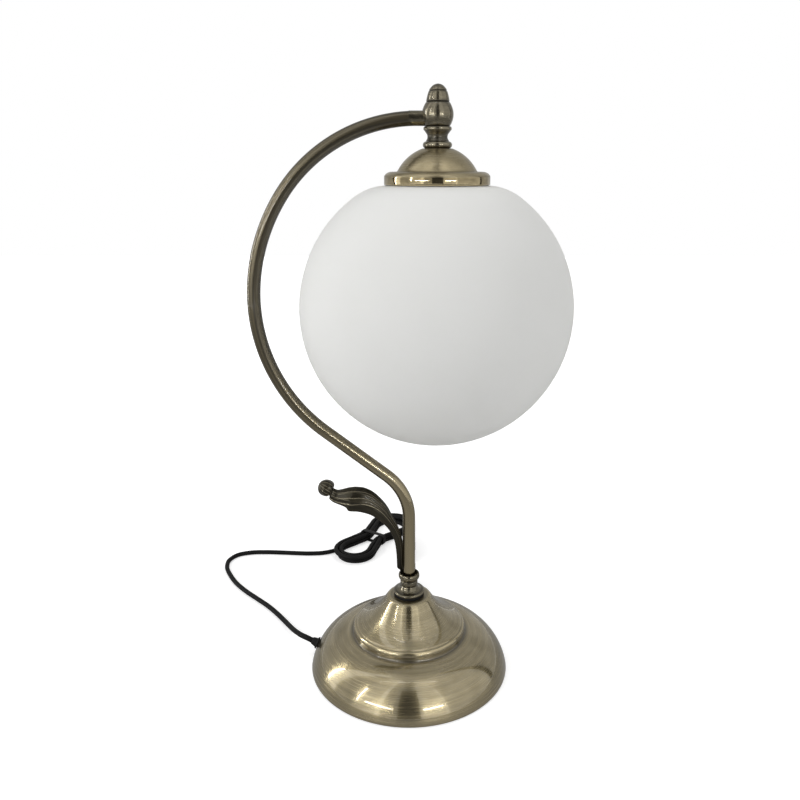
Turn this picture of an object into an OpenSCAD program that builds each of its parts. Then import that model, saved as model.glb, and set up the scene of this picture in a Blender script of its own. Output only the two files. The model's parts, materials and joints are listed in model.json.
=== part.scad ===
// Glass table lamp: a spun brass foot, a bent tube arm and an opal glass globe hung from a spun cap.
// Millimetres, +Z up. Origin: centre of the foot on the table. The arm bends in the XZ plane
// and the globe hangs on the +X side. The cord leaves the foot at the left, towards the back.

/* [Foot] */
// Radius of the foot where it meets the table
foot_r = 82.4; // [76:0.2:90]
// Thickness of the spun sheet metal
sheet_t = 1; // [0.8:0.1:1.4]
// Radius of the round outer dome in section
dome_r = 40; // [38:0.5:44]
// Depth of that round's centre below the table
dome_drop = 7; // [4:0.5:9]
// Height of the metal rim above the table
rim_lift = 0.8; // [0.4:0.1:1.2]
// Radius of the crease between the dome and the cone
crease_r = 47.5; // [42:0.5:52]
// Height of the round band that stands in the crease
band_h = 7.2; // [5:0.2:9]
// Height of the cone's flat top
cone_top_z = 65.6; // [58:0.2:72]
// Radius of the cone's rounded shoulder
shoulder_r = 17.2; // [15:0.2:20]
// How far the cone's side is hollowed
cone_hollow = 2.3; // [1:0.1:3]
// Thickness of the felt under the foot
felt_t = 2; // [1.5:0.1:3]

/* [Weight and clamping] */
// Height of the iron weight's flat top
weight_top_z = 17; // [16:0.5:22]
// Radius of the recess for the nut under the weight
recess_r = 17; // [15:0.5:22]
// Height of the recess's ceiling
recess_top_z = 13; // [12.5:0.5:14]
// Outside radius of the threaded tubes
thread_r = 5; // [4.5:0.1:5.5]
// Radius of the hole through the threaded tubes
thread_bore_r = 3.6; // [3:0.1:4]
// Width across flats of the hexagon nuts
nut_af = 15; // [13:0.5:18]
// Thickness of the hexagon nuts
nut_t = 3; // [2.5:0.1:4]
// Radius of the steel washers
washer_r = 13; // [11:0.5:14]
// Thickness of the steel washers
washer_t = 1.5; // [1:0.1:2]

/* [Collar] */
// Thickness of the black washer between foot and collar
black_washer_t = 2.4; // [1.5:0.1:3]
// Radius of the black washer
black_washer_r = 11.8; // [11:0.1:12.2]
// Radius of the collar's lower flange
collar_flange_r = 12.8; // [12.4:0.1:14]
// Height of the whole collar
collar_h = 21.4; // [20:0.2:24]
// Radius of the ring round the collar's waist
waist_r = 7.1; // [6.8:0.1:7.6]
// Radius of the cup at the collar's top
cup_r = 8.4; // [8:0.1:9]
// Depth of the cup round the tube and the leaf's foot
cup_depth = 6.6; // [5:0.2:7]

/* [Arm] */
// Outside radius of the bent tube
tube_r = 5; // [4.5:0.1:5.5]
// Wall of the bent tube
tube_wall = 1; // [0.8:0.1:1.2]
// Height at which the stem starts to bend
stem_top_z = 135; // [125:1:145]
// Bend radius at the top of the stem
stem_bend_r = 46; // [40:1:52]
// Turn at the top of the stem, in degrees
stem_turn = 52; // [46:1:58]
// Length of the straight run above the stem
arm_run = 60; // [50:1:70]
// Bend radius of the lower part of the big curve
low_bend_r = 128; // [120:1:140]
// Turn of the lower part of the big curve, in degrees
low_turn = 60; // [50:1:70]
// Bend radius of the middle of the big curve
mid_bend_r = 138; // [125:1:145]
// Turn of the middle of the big curve, in degrees
mid_turn = 27; // [20:1:35]
// Bend radius of the top of the big curve
top_bend_r = 116; // [110:1:125]
// Level run from the end of the curve to the head's axis
head_run = 14; // [12:0.5:20]

/* [Leaf] */
// Wall of the cast leaf
leaf_t = 1.6; // [1.2:0.1:2]
// Radius of the ball at the leaf's tip
tip_r = 5.4; // [5:0.1:6]
// Height of the veins on the leaf
vein_h = 0.5; // [0.3:0.1:0.8]

/* [Head] */
// Largest radius of the ball that takes the arm
ball_r = 10.9; // [10:0.1:12]
// Height of the finial
finial_h = 11.6; // [10:0.2:14]
// Radius of the finial where it sits on the ball
finial_r = 9; // [8:0.1:9.6]
// Height of the ball
ball_h = 15.9; // [14.5:0.1:17]
// Smallest radius of the neck
neck_r = 7; // [6.5:0.1:8]
// Height of the neck
neck_h = 9.8; // [9:0.2:12]
// Radius of the ring under the neck
ring_r = 10.2; // [9:0.1:11.5]
// Height of that ring
ring_h = 4.7; // [4:0.1:6]
// Radius of the round dome of the cap
cap_dome_r = 31.6; // [31:0.2:34]
// Radius of the cap's upright rim
cap_rim_r = 37.3; // [36.5:0.1:40]
// Height of the polished rim band
rim_band_h = 5.6; // [4.5:0.1:7]
// Height of the cap from its rim to its top
cap_h = 24.2; // [24:0.2:27]

/* [Globe] */
// Outside radius of the glass globe
globe_r = 100; // [90:1:110]
// Wall of the glass
glass_t = 2.6; // [2:0.1:3.5]
// Outside radius of the globe's neck
globe_neck_r = 32.6; // [30:0.2:33]
// How far the globe's crown lies above its centre
crown_rise = 88.4; // [80:0.2:96]
// How far the lugs stand out of the neck
lug_out = 2; // [1.4:0.1:2.2]
// Turn that frees the globe, in degrees
globe_free_turn = 30; // [24:1:36]

/* [Lampholder] */
// Outside radius of the lampholder
holder_r = 14; // [13:0.5:16]
// Length of the lampholder's lower sleeve
sleeve_h = 34; // [30:0.5:38]
// Radius of the screw cap of the bulb
bulb_cap_r = 6.8; // [6.5:0.1:7]
// Radius of the bulb's glass ball
bulb_r = 22.5; // [20:0.5:24]

/* [Cord] */
// Diameter of the round mains cord
cord_d = 4.6; // [4:0.1:5]
// Direction of the cord's exit from the foot, in degrees
exit_turn = 171; // [165:1:175]
// Height of the cord's exit
exit_z = 9; // [8:0.5:10]
// How far the grommet stands out of the foot
grommet_out = 6; // [5:0.5:7]
// Full size of the flat plug across its two pins
plug_w = 35.3; // [32:0.1:38]
// Thickness of the flat plug
plug_t = 13.7; // [12:0.1:15]
// Length of the switch in the cord
switch_l = 50; // [46:1:60]
// Width of the switch in the cord
switch_w = 20; // [18:0.5:22]
// Thickness of the switch in the cord
switch_t = 13; // [12:0.5:15]
// Tilt of the rocker to each side, in degrees
rocker_tilt = 8; // [6:1:10]

/* [Hidden] */
$fn = 72;

// Clearances, on the radius or across a seat
fit = 0.1;
rest_gap = 0.3;
pin_fit = 0.05;

brass = [0.56, 0.49, 0.35];
polished = [0.78, 0.72, 0.58];
bronze = [0.22, 0.19, 0.13];
steel = [0.70, 0.71, 0.72];
iron = [0.25, 0.25, 0.26];
black = [0.07, 0.07, 0.07];
opal = [0.96, 0.96, 0.95];

// Points and outlines in a plane
function dir(a) = [cos(a), sin(a)];
function arc_pts(c, r, a0, a1, n) = [for (i = [0:n]) c + r * dir(a0 + (a1 - a0) * i / n)];
function left_of(p, i) =
  let (a = p[max(i - 1, 0)], b = p[min(i + 1, len(p) - 1)], d = (b - a) / norm(b - a))
  [-d[1], d[0]];
function inner_pt(q) = [max(q[0], 0), q[1]];
// A sheet of thickness t whose outer face is the line p; its inner face lies to the left of p
function walled(p, t) =
  concat(p, [for (i = [len(p) - 1:-1:0]) inner_pt(p[i] + t * left_of(p, i))]);
// A run from p0 to p1 that sags by s to its left
function sagged(p0, p1, s, n) =
  let (d = (p1 - p0) / norm(p1 - p0))
  [for (i = [0:n]) let (k = i / n) p0 + (p1 - p0) * k + 4 * s * k * (1 - k) * [-d[1], d[0]]];

// A round cord swept along points, with the side direction square to ref
function unit(v) = v / norm(v);
function heading(p, i) = unit(p[min(i + 1, len(p) - 1)] - p[max(i - 1, 0)]);
function ring_at(p, i, r, n, ref) =
  let (t = heading(p, i), s = unit(cross(t, ref)), u = cross(s, t))
  [for (k = [0:n - 1]) p[i] + r * (cos(360 * (k + 0.5) / n) * s + sin(360 * (k + 0.5) / n) * u)];
// Triangles that join ring after ring of m points, and flat fans that close the two ends
function skin(rings, m) = [for (i = [0:rings - 2], k = [0:m - 1])
  let (a = i * m + k, b = i * m + (k + 1) % m) each [[a, b, a + m], [b, b + m, a + m]]];
module swept(p, r, n, ref = [0, 0, 1]) {
  last = (len(p) - 1) * n;
  ends = [for (k = [1:n - 2]) each [[0, k + 1, k], [last, last + k, last + k + 1]]];
  polyhedron(points = [for (i = [0:len(p) - 1]) each ring_at(p, i, r, n, ref)],
    faces = concat(skin(len(p), n), ends), convexity = 10);
}
// The same for a pipe: each ring holds its outer points and then its inner ones
module swept_pipe(p, r, bore, n, ref) {
  first = len(p) * n;
  last = (len(p) - 1) * n;
  ends = [for (k = [0:n - 1]) let (j = (k + 1) % n)
    each [[k, first + k, j], [j, first + k, first + j],
      [last + k, last + j, first + last + k], [last + j, first + last + j, first + last + k]]];
  polyhedron(points = concat([for (i = [0:len(p) - 1]) each ring_at(p, i, r, n, ref)],
      [for (i = [0:len(p) - 1]) each ring_at(p, i, bore, n, ref)]),
    faces = concat(skin(len(p), n), [for (f = skin(len(p), n)) [first + f[0], first + f[2], first + f[1]]],
      ends), convexity = 10);
}
module revolve(p) rotate_extrude($fn = 120) polygon(p);
module ring(r, bore, z0, z1) {
  difference() {
    translate([0, 0, z0]) cylinder(r = r, h = z1 - z0);
    translate([0, 0, z0 - 1]) cylinder(r = bore, h = z1 - z0 + 2);
  }
}
module nut(z0) {
  difference() {
    translate([0, 0, z0]) cylinder(r = nut_af / 2 / cos(30), h = nut_t, $fn = 6);
    translate([0, 0, z0 - 1]) cylinder(r = thread_r + fit, h = nut_t + 2);
  }
}

// Foot: a round dome, a crease with a standing band, a hollow cone and a flat top
dome_cx = foot_r - sqrt(dome_r * dome_r - dome_drop * dome_drop);
dome_c = [dome_cx, -dome_drop];
rim_a = asin((rim_lift + dome_drop) / dome_r);
crease_a = acos((crease_r - dome_cx) / dome_r);
crease_z = dome_r * sin(crease_a) - dome_drop;
band_top = [crease_r - 4, crease_z + band_h + 0.6];
cone_end = [shoulder_r + 1.8, cone_top_z - 2.7];
foot_hole_r = thread_r + 2 * fit;
foot_line = concat(
  arc_pts(dome_c, dome_r, rim_a, crease_a, 18),
  [[crease_r - 0.7, crease_z + 0.7], [crease_r - 1, crease_z + 2.2],
   [crease_r - 1, crease_z + band_h - 3], [crease_r - 1.5, crease_z + band_h - 1.2],
   [crease_r - 2.6, crease_z + band_h - 0.2]],
  sagged(band_top, cone_end, cone_hollow, 14),
  [[shoulder_r + 1.1, cone_top_z - 1.5], [shoulder_r - 0.2, cone_top_z - 0.6],
   [shoulder_r - 2.2, cone_top_z], [foot_hole_r, cone_top_z]]);

// Cord exit: a bush square to the dome's surface
exit_a = asin((exit_z + dome_drop) / dome_r);
exit_r = dome_cx + dome_r * cos(exit_a);
bush_r = 3.5;
bush_in = 10;
flange_r = 5.2;
lead_r = 1.5;
module at_exit() {
  rotate([0, 0, exit_turn]) translate([exit_r, 0, exit_z]) rotate([0, 90 - exit_a, 0]) children();
}
function from_exit(out) =
  let (r = exit_r + out * cos(exit_a))
  [r * cos(exit_turn), r * sin(exit_turn), exit_z + out * sin(exit_a)];

module base_shell() {
  color(brass) difference() {
    revolve(walled(foot_line, sheet_t));
    at_exit() translate([0, 0, -3]) cylinder(r = bush_r + fit, h = 6);
  }
}

// Weight: cast iron that follows the dome, with a recess for the nut and a slot for the lead
weight_r = dome_r - sheet_t - rest_gap;
boss_r = 16;
boss_h = 4;
slot_w = 10;
slot_top = exit_z + 5;
module base_weight() {
  color(iron) difference() {
    revolve(concat([[0, felt_t]],
      arc_pts(dome_c, weight_r, asin((felt_t + dome_drop) / weight_r),
        asin((weight_top_z + dome_drop) / weight_r), 6),
      [[boss_r + 1, weight_top_z], [boss_r, weight_top_z + 1],
       [boss_r - 1, weight_top_z + boss_h], [0, weight_top_z + boss_h]]));
    cylinder(r = thread_r + 2 * fit, h = weight_top_z + boss_h + 1);
    cylinder(r = recess_r, h = recess_top_z);
    rotate([0, 0, exit_turn]) translate([0, -slot_w / 2, 0]) cube([foot_r, slot_w, slot_top]);
  }
}

pad_gap = 0.8;
module base_pad() {
  color(black) cylinder(r = foot_r - sheet_t - pad_gap, h = felt_t);
}

nut_z = recess_top_z - washer_t - nut_t;
nipple_z = nut_z - 0.8;
module base_washer() {
  color(steel) ring(washer_r, thread_r + 2 * fit, recess_top_z - washer_t, recess_top_z);
}
module base_nut() {
  color(steel) nut(nut_z);
}

// Collar: a flange, a bell, a waist ring and a cup that holds the tube and the leaf's foot
collar_z = cone_top_z + black_washer_t;
collar_top = collar_z + collar_h;
join_z = collar_z + 8;
cup_wall = 1.2;
cup_floor = collar_top - cup_depth;
module base_nipple() {
  color(steel) ring(thread_r, thread_bore_r, nipple_z, join_z);
}
module black_washer() {
  color(black) translate([0, 0, cone_top_z]) revolve([[thread_r + 2 * fit, 0],
    [black_washer_r - 0.5, 0], [black_washer_r, 0.5], [black_washer_r, black_washer_t - 0.5],
    [black_washer_r - 0.5, black_washer_t], [thread_r + 2 * fit, black_washer_t]]);
}
bell_top = 6.4;
cup_start = 11.2;
collar_line = concat(
  [[thread_r + fit, 0], [collar_flange_r - 0.6, 0], [collar_flange_r, 0.8],
   [collar_flange_r - 0.1, 1.8], [collar_flange_r - 1, 2.3]],
  sagged([collar_flange_r - 1.3, 2.4], [waist_r - 0.6, bell_top], 0.9, 8),
  [[waist_r - 1.2, bell_top + 0.5], [waist_r - 0.2, bell_top + 0.9],
   [waist_r, bell_top + 1.7], [waist_r, bell_top + 3], [waist_r - 0.2, cup_start - 0.7],
   [waist_r - 1.1, cup_start]],
  sagged([waist_r - 0.5, cup_start + 0.5], [cup_r, cup_start + 5.6], -0.5, 6),
  [[cup_r, collar_h - 3], [cup_r - 0.2, collar_h - 1.4], [cup_r - 0.7, collar_h - 0.2],
   [cup_r - cup_wall, collar_h], [cup_r - cup_wall, collar_h - cup_depth],
   [tube_r + fit, collar_h - cup_depth], [tube_r + fit, join_z - collar_z],
   [thread_r + fit, join_z - collar_z]]);
module collar() {
  color(brass) translate([0, 0, collar_z]) revolve(collar_line);
}

// Arm: the tube's bends, followed from the stem to the head in the XZ plane
low_a = 180 + stem_turn;
mid_a = low_a - low_turn;
top_a = mid_a - mid_turn;
stem_c = [-stem_bend_r, stem_top_z];
p1 = stem_c + stem_bend_r * dir(stem_turn);
p2 = p1 + arm_run * [-sin(stem_turn), cos(stem_turn)];
low_c = p2 - low_bend_r * dir(low_a);
p3 = low_c + low_bend_r * dir(mid_a);
mid_c = p3 - mid_bend_r * dir(mid_a);
p4 = mid_c + mid_bend_r * dir(top_a);
top_c = p4 - top_bend_r * dir(top_a);
head_x = top_c[0] + head_run;
head_z = top_c[1] + top_bend_r;
tube_end_x = head_x - 6;
function in_xz(q) = [for (v = q) [v[0], 0, v[1]]];
function arm_steps(a0, a1) = ceil(abs(a1 - a0) / 6);
function arm_arc(c, r, a0, a1) =
  [for (i = [1:arm_steps(a0, a1)]) c + r * dir(a0 + (a1 - a0) * i / arm_steps(a0, a1))];
arm_line = concat([[0, join_z + rest_gap], [0, collar_top], [0, stem_top_z]],
  arm_arc(stem_c, stem_bend_r, 0, stem_turn), [p2], arm_arc(low_c, low_bend_r, low_a, mid_a),
  arm_arc(mid_c, mid_bend_r, mid_a, top_a), arm_arc(top_c, top_bend_r, top_a, 90),
  [[tube_end_x, head_z]]);
module arm_tube() {
  color(brass) swept_pipe(in_xz(arm_line), tube_r, tube_r - tube_wall, 20, [0, 1, 0]);
}

// Leaf: a folded cast leaf. Each station holds its midrib (x, z), its margin (x, z) and half
// its width in y. x is measured from the tube's surface and z from the collar's top.
leaf_line = [
  [-0.3, 0.3, -4.8, 0.3, 3.3], [-0.3, 12.6, -5.1, 13, 3.4], [-0.7, 25.3, -6.5, 25.2, 4],
  [-3.5, 36.1, -9.5, 34, 5], [-8, 45.6, -14.5, 41.6, 6.2], [-12.4, 55, -20.9, 47.9, 7.5],
  [-17.5, 61.8, -26, 51.2, 8], [-23.5, 67.6, -31, 53, 8.4], [-30, 71, -36, 54.2, 8.8],
  [-36.3, 71.9, -42.8, 54.7, 9], [-40, 71.7, -44.5, 57.2, 8.4], [-44, 71, -47.5, 58.6, 7.5],
  [-48.5, 69.8, -51.5, 60.4, 6.2], [-52, 69.9, -55, 63, 4.8], [-55.6, 71.9, -58, 67, 3.6]];
leaf_sides = 20;
vein_steps = [4, 7];
tip_at = [-61.3, 0, 72];
tongue_a = 36;
function curved(a, b, c, d, t) =
  0.5 * (2 * b + (c - a) * t + (2 * a - 5 * b + 4 * c - d) * t * t
  + (3 * b - a - 3 * c + d) * t * t * t);
function station(i) = leaf_line[min(max(i, 0), len(leaf_line) - 1)];
leaf_rings = [for (i = [0:2 * len(leaf_line) - 2]) let (b = floor(i / 2))
  curved(station(b - 1), station(b), station(b + 1), station(b + 2), i / 2 - b)];
function leaf_pt(s, k, out) =
  let (a = 180 * k / leaf_sides - 90,
    v = [s[2] - s[0], s[3] - s[1]],
    n = unit([norm(v) * sin(a), -s[4] * cos(a)]),
    y = s[4] * sin(a) + out * n[0],
    w = (1 - cos(a)) * norm(v) + out * n[1])
  [s[0] + w * unit(v)[0], y, s[1] + w * unit(v)[1]];
function vein(k) = let (m = abs(k - leaf_sides / 2)) m == vein_steps[0] || m == vein_steps[1] ? vein_h : 0;
function leaf_ring(s) = concat(
  [for (k = [0:leaf_sides]) leaf_pt(s, k, -leaf_t)],
  [for (k = [leaf_sides:-1:0]) leaf_pt(s, k, vein(k))]);
// The foot's section between the tube and the cup, and the ball that closes the tip
function tongue_arc(r, z) = [for (k = [0:leaf_sides]) let (a = tongue_a * (k / leaf_sides - 0.5))
  [tube_r - r * cos(a), r * sin(a), z]];
function backward(p) = [for (i = [len(p) - 1:-1:0]) p[i]];
function tongue_ring(z) =
  concat(tongue_arc(cup_r - cup_wall - fit, z), backward(tongue_arc(tube_r + rest_gap, z)));
tip_way = unit(tip_at - [leaf_rings[len(leaf_rings) - 1][0] - 1.2, 0, leaf_rings[len(leaf_rings) - 1][1] - 2.4]);
tip_rings = [-0.55, -0.2, 0.2, 0.55, 0.8, 0.95];
leaf_ring_size = 2 * (leaf_sides + 1);
function tip_ring(k) =
  let (r = tip_r * sqrt(1 - k * k), c = tip_at + k * tip_r * tip_way)
  [for (i = [0:leaf_ring_size - 1]) let (a = 360 * (i + 0.5) / leaf_ring_size - 90)
    c + r * [-tip_way[2] * cos(a), sin(a), tip_way[0] * cos(a)]];
module leaf() {
  rings = concat([tongue_ring(rest_gap - cup_depth), tongue_ring(0.05)],
    [for (s = leaf_rings) leaf_ring(s)], [for (k = tip_rings) tip_ring(k)]);
  m = leaf_ring_size;
  last = (len(rings) - 1) * m;
  ends = [for (k = [0:leaf_sides - 1])
    each [[k + 1, k, m - 1 - k], [m - 2 - k, k + 1, m - 1 - k],
      [last + k, last + k + 1, last + m - 1 - k],
      [last + k + 1, last + m - 2 - k, last + m - 1 - k]]];
  color(bronze) translate([-tube_r, 0, collar_top])
    polyhedron(points = [for (r = rings) each r], faces = concat(skin(len(rings), m), ends),
      convexity = 8);
}

// Head: ball, finial, neck and ring above the cap, all on the head's own axis
ball_z = head_z - tube_r - rest_gap;
ball_top = ball_z + ball_h;
ball_ease = 6.1;
boss_reach = 13;
side_boss_r = tube_r + 1.6;
finial_stud_r = 2.9;
finial_stud = 5;
knuckle_stud = 7.5;
neck_z = ball_z - neck_h;
ring_z = neck_z - ring_h;
function ball_line(n) = [for (i = [0:n]) let (k = i / n)
  [ball_r - ball_ease * pow(k - 0.48, 2), ball_h * k]];
module at_head() {
  translate([head_x, 0, 0]) children();
}
module knuckle() {
  color(brass) at_head() difference() {
    union() {
      translate([0, 0, ball_z]) revolve(concat([[0, 0]], ball_line(12), [[0, ball_h]]));
      translate([0, 0, ball_z - knuckle_stud]) cylinder(r = thread_r, h = knuckle_stud + 1);
      difference() {
        translate([0, 0, head_z]) rotate([0, -90, 0]) cylinder(r = side_boss_r, h = boss_reach);
        translate([0, 0, ball_z - side_boss_r]) cylinder(r = neck_r + 3.2, h = side_boss_r);
      }
    }
    translate([0, 0, ball_z - knuckle_stud - 1])
      cylinder(r = thread_bore_r, h = head_z - ball_z + knuckle_stud + 1);
    translate([0, 0, head_z]) rotate([0, -90, 0]) cylinder(r = tube_r - tube_wall, h = boss_reach);
    translate([tube_end_x - head_x, 0, head_z]) rotate([0, -90, 0])
      cylinder(r = tube_r + fit, h = boss_reach);
    translate([0, 0, ball_top - finial_stud - 0.3])
      cylinder(r = finial_stud_r + fit, h = finial_stud + 1);
  }
}
module finial() {
  h = finial_h;
  color(brass) at_head() translate([0, 0, ball_top]) {
    revolve([[0, 0], [finial_r - 0.5, 0], [finial_r, 0.5], [finial_r - 0.5, 0.1 * h],
      [finial_r - 1, 0.26 * h], [finial_r - 1.7, 0.42 * h], [finial_r - 2.4, 0.58 * h],
      [finial_r - 3, 0.61 * h], [finial_r - 2.8, 0.65 * h], [finial_r - 3.9, 0.76 * h],
      [finial_r - 5.1, 0.9 * h], [finial_r - 6.9, 0.98 * h], [0, h]]);
    translate([0, 0, -finial_stud]) cylinder(r = finial_stud_r, h = finial_stud + 1);
  }
}
module neck() {
  top = neck_h;
  color(brass) at_head() translate([0, 0, neck_z]) revolve([[thread_r + fit, 0], [neck_r + 0.9, 0],
    [neck_r + 1, 0.4], [neck_r + 0.4, 1.3], [neck_r, 2.4], [neck_r + 0.1, 3.6],
    [neck_r + 0.6, top - 5], [neck_r + 1.5, top - 3.5], [neck_r + 2, top - 2.9],
    [neck_r + 2.5, top - 2.5], [neck_r + 2.8, top - 1.9], [neck_r + 2.8, top - 1],
    [neck_r + 2.4, top - 0.3], [neck_r + 2, top], [thread_r + fit, top]]);
}
module neck_ring() {
  half = ring_h / 2;
  color(brass) at_head() translate([0, 0, ring_z]) revolve(concat([[thread_r + fit, 0]],
    arc_pts([ring_r - half, half], half, -90, 90, 12), [[thread_r + fit, ring_h]]));
}

// Cap: a spun dome on a flange with an upright rim band
cap_t = 1;
cap_seat_r = ring_r + 0.3;
dome_foot_r = cap_rim_r - 9.7;
rim_z = ring_z - cap_h;
band_z = rim_z + rim_band_h;
cap_dome_z = ring_z - sqrt(cap_dome_r * cap_dome_r - cap_seat_r * cap_seat_r);
cap_line = concat(
  [[cap_rim_r, rim_z], [cap_rim_r, band_z]],
  [[cap_rim_r - 0.5, band_z + 0.9], [cap_rim_r - 1.3, band_z + 1.7],
   [cap_rim_r - 2.7, band_z + 2.6], [cap_rim_r - 4.3, band_z + 3.1],
   [cap_rim_r - 8.3, band_z + 3.3], [cap_rim_r - 9, band_z + 3.4]],
  arc_pts([0, cap_dome_z], cap_dome_r, acos(dome_foot_r / cap_dome_r),
    acos(cap_seat_r / cap_dome_r), 16),
  [[foot_hole_r, ring_z]]);
plate_z = band_z + 0.7;
module shade_cap() {
  color(brass) at_head() revolve(walled(cap_line, cap_t));
}

// Gallery inside the cap: a pan with three ledges that the globe's lugs turn on to
gasket_t = 1;
lug_w = 25;
lug_h = 2.1;
ledge_t = 1;
ledge_w = 2 * globe_free_turn - lug_w - 1;
ledge_r = globe_neck_r + 3 * rest_gap;
stop_w = 3;
skirt_r = cap_rim_r - cap_t - 0.2;
skirt_bore = globe_neck_r + lug_out + rest_gap;
neck_top = plate_z - gasket_t - rest_gap;
ledge_top = neck_top - lug_h - rest_gap;
lug_turns = [0, 120, 240];
module arc_block(a0, w, r0, r1, z0, h) {
  rotate([0, 0, a0]) rotate_extrude(angle = w) translate([r0, z0]) square([r1 - r0, h]);
}
module gallery() {
  color(steel) at_head() {
    revolve([[thread_r + fit, plate_z], [skirt_bore - 2.9, plate_z], [skirt_bore, plate_z - 1.1],
      [skirt_bore, rim_z + 0.6], [skirt_r, rim_z + 0.6], [skirt_r, plate_z - 1.4],
      [skirt_r - 0.9, plate_z - 0.4], [skirt_r - 3.1, plate_z + 0.7], [skirt_r - 5, plate_z + 1],
      [thread_r + fit, plate_z + 1]]);
    for (a = lug_turns) {
      arc_block(a - ledge_w / 2, ledge_w, ledge_r, skirt_bore + 0.5,
        ledge_top - ledge_t, ledge_t);
      arc_block(a - lug_w / 2 - stop_w - 1, stop_w, globe_neck_r + 2 * rest_gap,
        skirt_bore + 0.3, ledge_top - ledge_t / 2, ledge_t / 2 + lug_h);
    }
  }
}
module cap_nut() {
  color(steel) at_head() nut(plate_z - nut_t);
}
module globe_gasket() {
  color(black) at_head() ring(skirt_bore - 3, globe_neck_r - glass_t - 1, plate_z - gasket_t, plate_z);
}
holder_top = plate_z - nut_t - rest_gap;
holder_hub = 10;
module head_nipple() {
  color(steel) at_head() ring(thread_r, thread_bore_r, holder_top - holder_hub + 2,
    ball_z - knuckle_stud - rest_gap);
}

// Globe: a blown sphere drawn in to a neck with three lugs
crown_gap = 0.8;
blend_a = 54.5;
globe_z = rim_z - crown_gap - crown_rise;
blend_pt = globe_r * dir(blend_a);
blend_end = [globe_neck_r + 5.9, crown_rise];
blend_mid = [blend_end[0] + 0.48 * (blend_pt[0] - blend_end[0]), crown_rise - 0.4];
globe_line = concat(
  arc_pts([0, 0], globe_r, -90, blend_a, 48),
  [for (i = [1:8]) let (t = i / 8)
    (1 - t) * (1 - t) * blend_pt + 2 * t * (1 - t) * blend_mid + t * t * blend_end],
  [[globe_neck_r + 3.4, crown_rise + 0.6], [globe_neck_r + 1.2, crown_rise + 1.6],
   [globe_neck_r + 0.2, crown_rise + 2.8], [globe_neck_r, crown_rise + 4],
   [globe_neck_r, neck_top - globe_z]]);
module globe() {
  color(opal) at_head() {
    translate([0, 0, globe_z]) revolve(walled(globe_line, glass_t));
    for (a = lug_turns)
      arc_block(a - lug_w / 2, lug_w, globe_neck_r - 0.5, globe_neck_r + lug_out,
        neck_top - lug_h, lug_h);
  }
}

// Lampholder and bulb, hung from the head's threaded tube
cap_len = 18;
holder_wall = 1.6;
sleeve_top = holder_top - cap_len;
sleeve_z = sleeve_top - sleeve_h;
block_t = 10;
block_z = sleeve_top - 2 - block_t;
shell_gap = 0.3;
bulb_top = block_z - 0.9;
bulb_cap_len = 25;
bulb_len = 76;
bulb_z = bulb_top - bulb_len + bulb_r;
bulb_neck_z = bulb_top - bulb_cap_len;
module holder_cap() {
  color(black) at_head() {
    revolve(walled([[holder_r, sleeve_top], [holder_r, holder_top - 6],
      [holder_r - 1, holder_top - 3], [holder_r - 3, holder_top - 0.9],
      [holder_r - 5, holder_top], [thread_r + fit, holder_top]], holder_wall));
    ring(thread_r + 2.4, thread_r + fit, holder_top - holder_hub, holder_top - 0.5);
  }
}
module holder_sleeve() {
  lip = bulb_cap_r + 1.4;
  color(black) at_head() revolve([[lip, sleeve_z], [holder_r - 0.8, sleeve_z],
    [holder_r, sleeve_z + 0.8], [holder_r, sleeve_top], [holder_r - holder_wall, sleeve_top],
    [holder_r - holder_wall, sleeve_z + 2], [lip, sleeve_z + 2]]);
}
module contact_block() {
  color([0.85, 0.83, 0.78]) at_head() ring(holder_r - holder_wall - fit, 1.2, block_z, block_z + block_t);
}
module thread_shell() {
  bore = bulb_cap_r + shell_gap;
  color(polished) at_head() {
    ring(bore + 0.5, bore, sleeve_z + 2.3, block_z);
    ring(bore + 3, bore, block_z - 0.6, block_z);
  }
}
module centre_contact() {
  color(polished) at_head() translate([0, 0, block_z - 0.4]) {
    translate([-5, -1.5, 0]) cube([8, 3, 0.4]);
    translate([-1.5, -1.5, -0.2]) cube([3, 3, 0.3]);
  }
}
module bulb_cap() {
  pitch = 2.8;
  turns = floor((bulb_cap_len - 6) / pitch);
  color(steel) at_head() translate([0, 0, bulb_neck_z]) revolve(concat([[0, 0], [bulb_cap_r - 0.3, 0]],
    [for (i = [0:turns - 1]) each [[bulb_cap_r - 0.3, 1.5 + i * pitch],
      [bulb_cap_r, 1.5 + (i + 0.3) * pitch], [bulb_cap_r, 1.5 + (i + 0.6) * pitch]]],
    [[bulb_cap_r - 0.4, bulb_cap_len - 4.2], [4, bulb_cap_len - 1.4],
     [2.4, bulb_cap_len - 1.2], [2, bulb_cap_len], [0, bulb_cap_len]]));
}
module bulb_glass() {
  a = 65;
  color([0.95, 0.95, 0.92]) at_head() translate([0, 0, bulb_z]) revolve(walled(concat(
    arc_pts([0, 0], bulb_r, -90, a, 20),
    sagged([bulb_r * cos(a) - 0.9, bulb_r * sin(a) + 1.4], [bulb_cap_r - 0.5, bulb_neck_z - bulb_z],
      0.7, 5)), 0.8));
}

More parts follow.
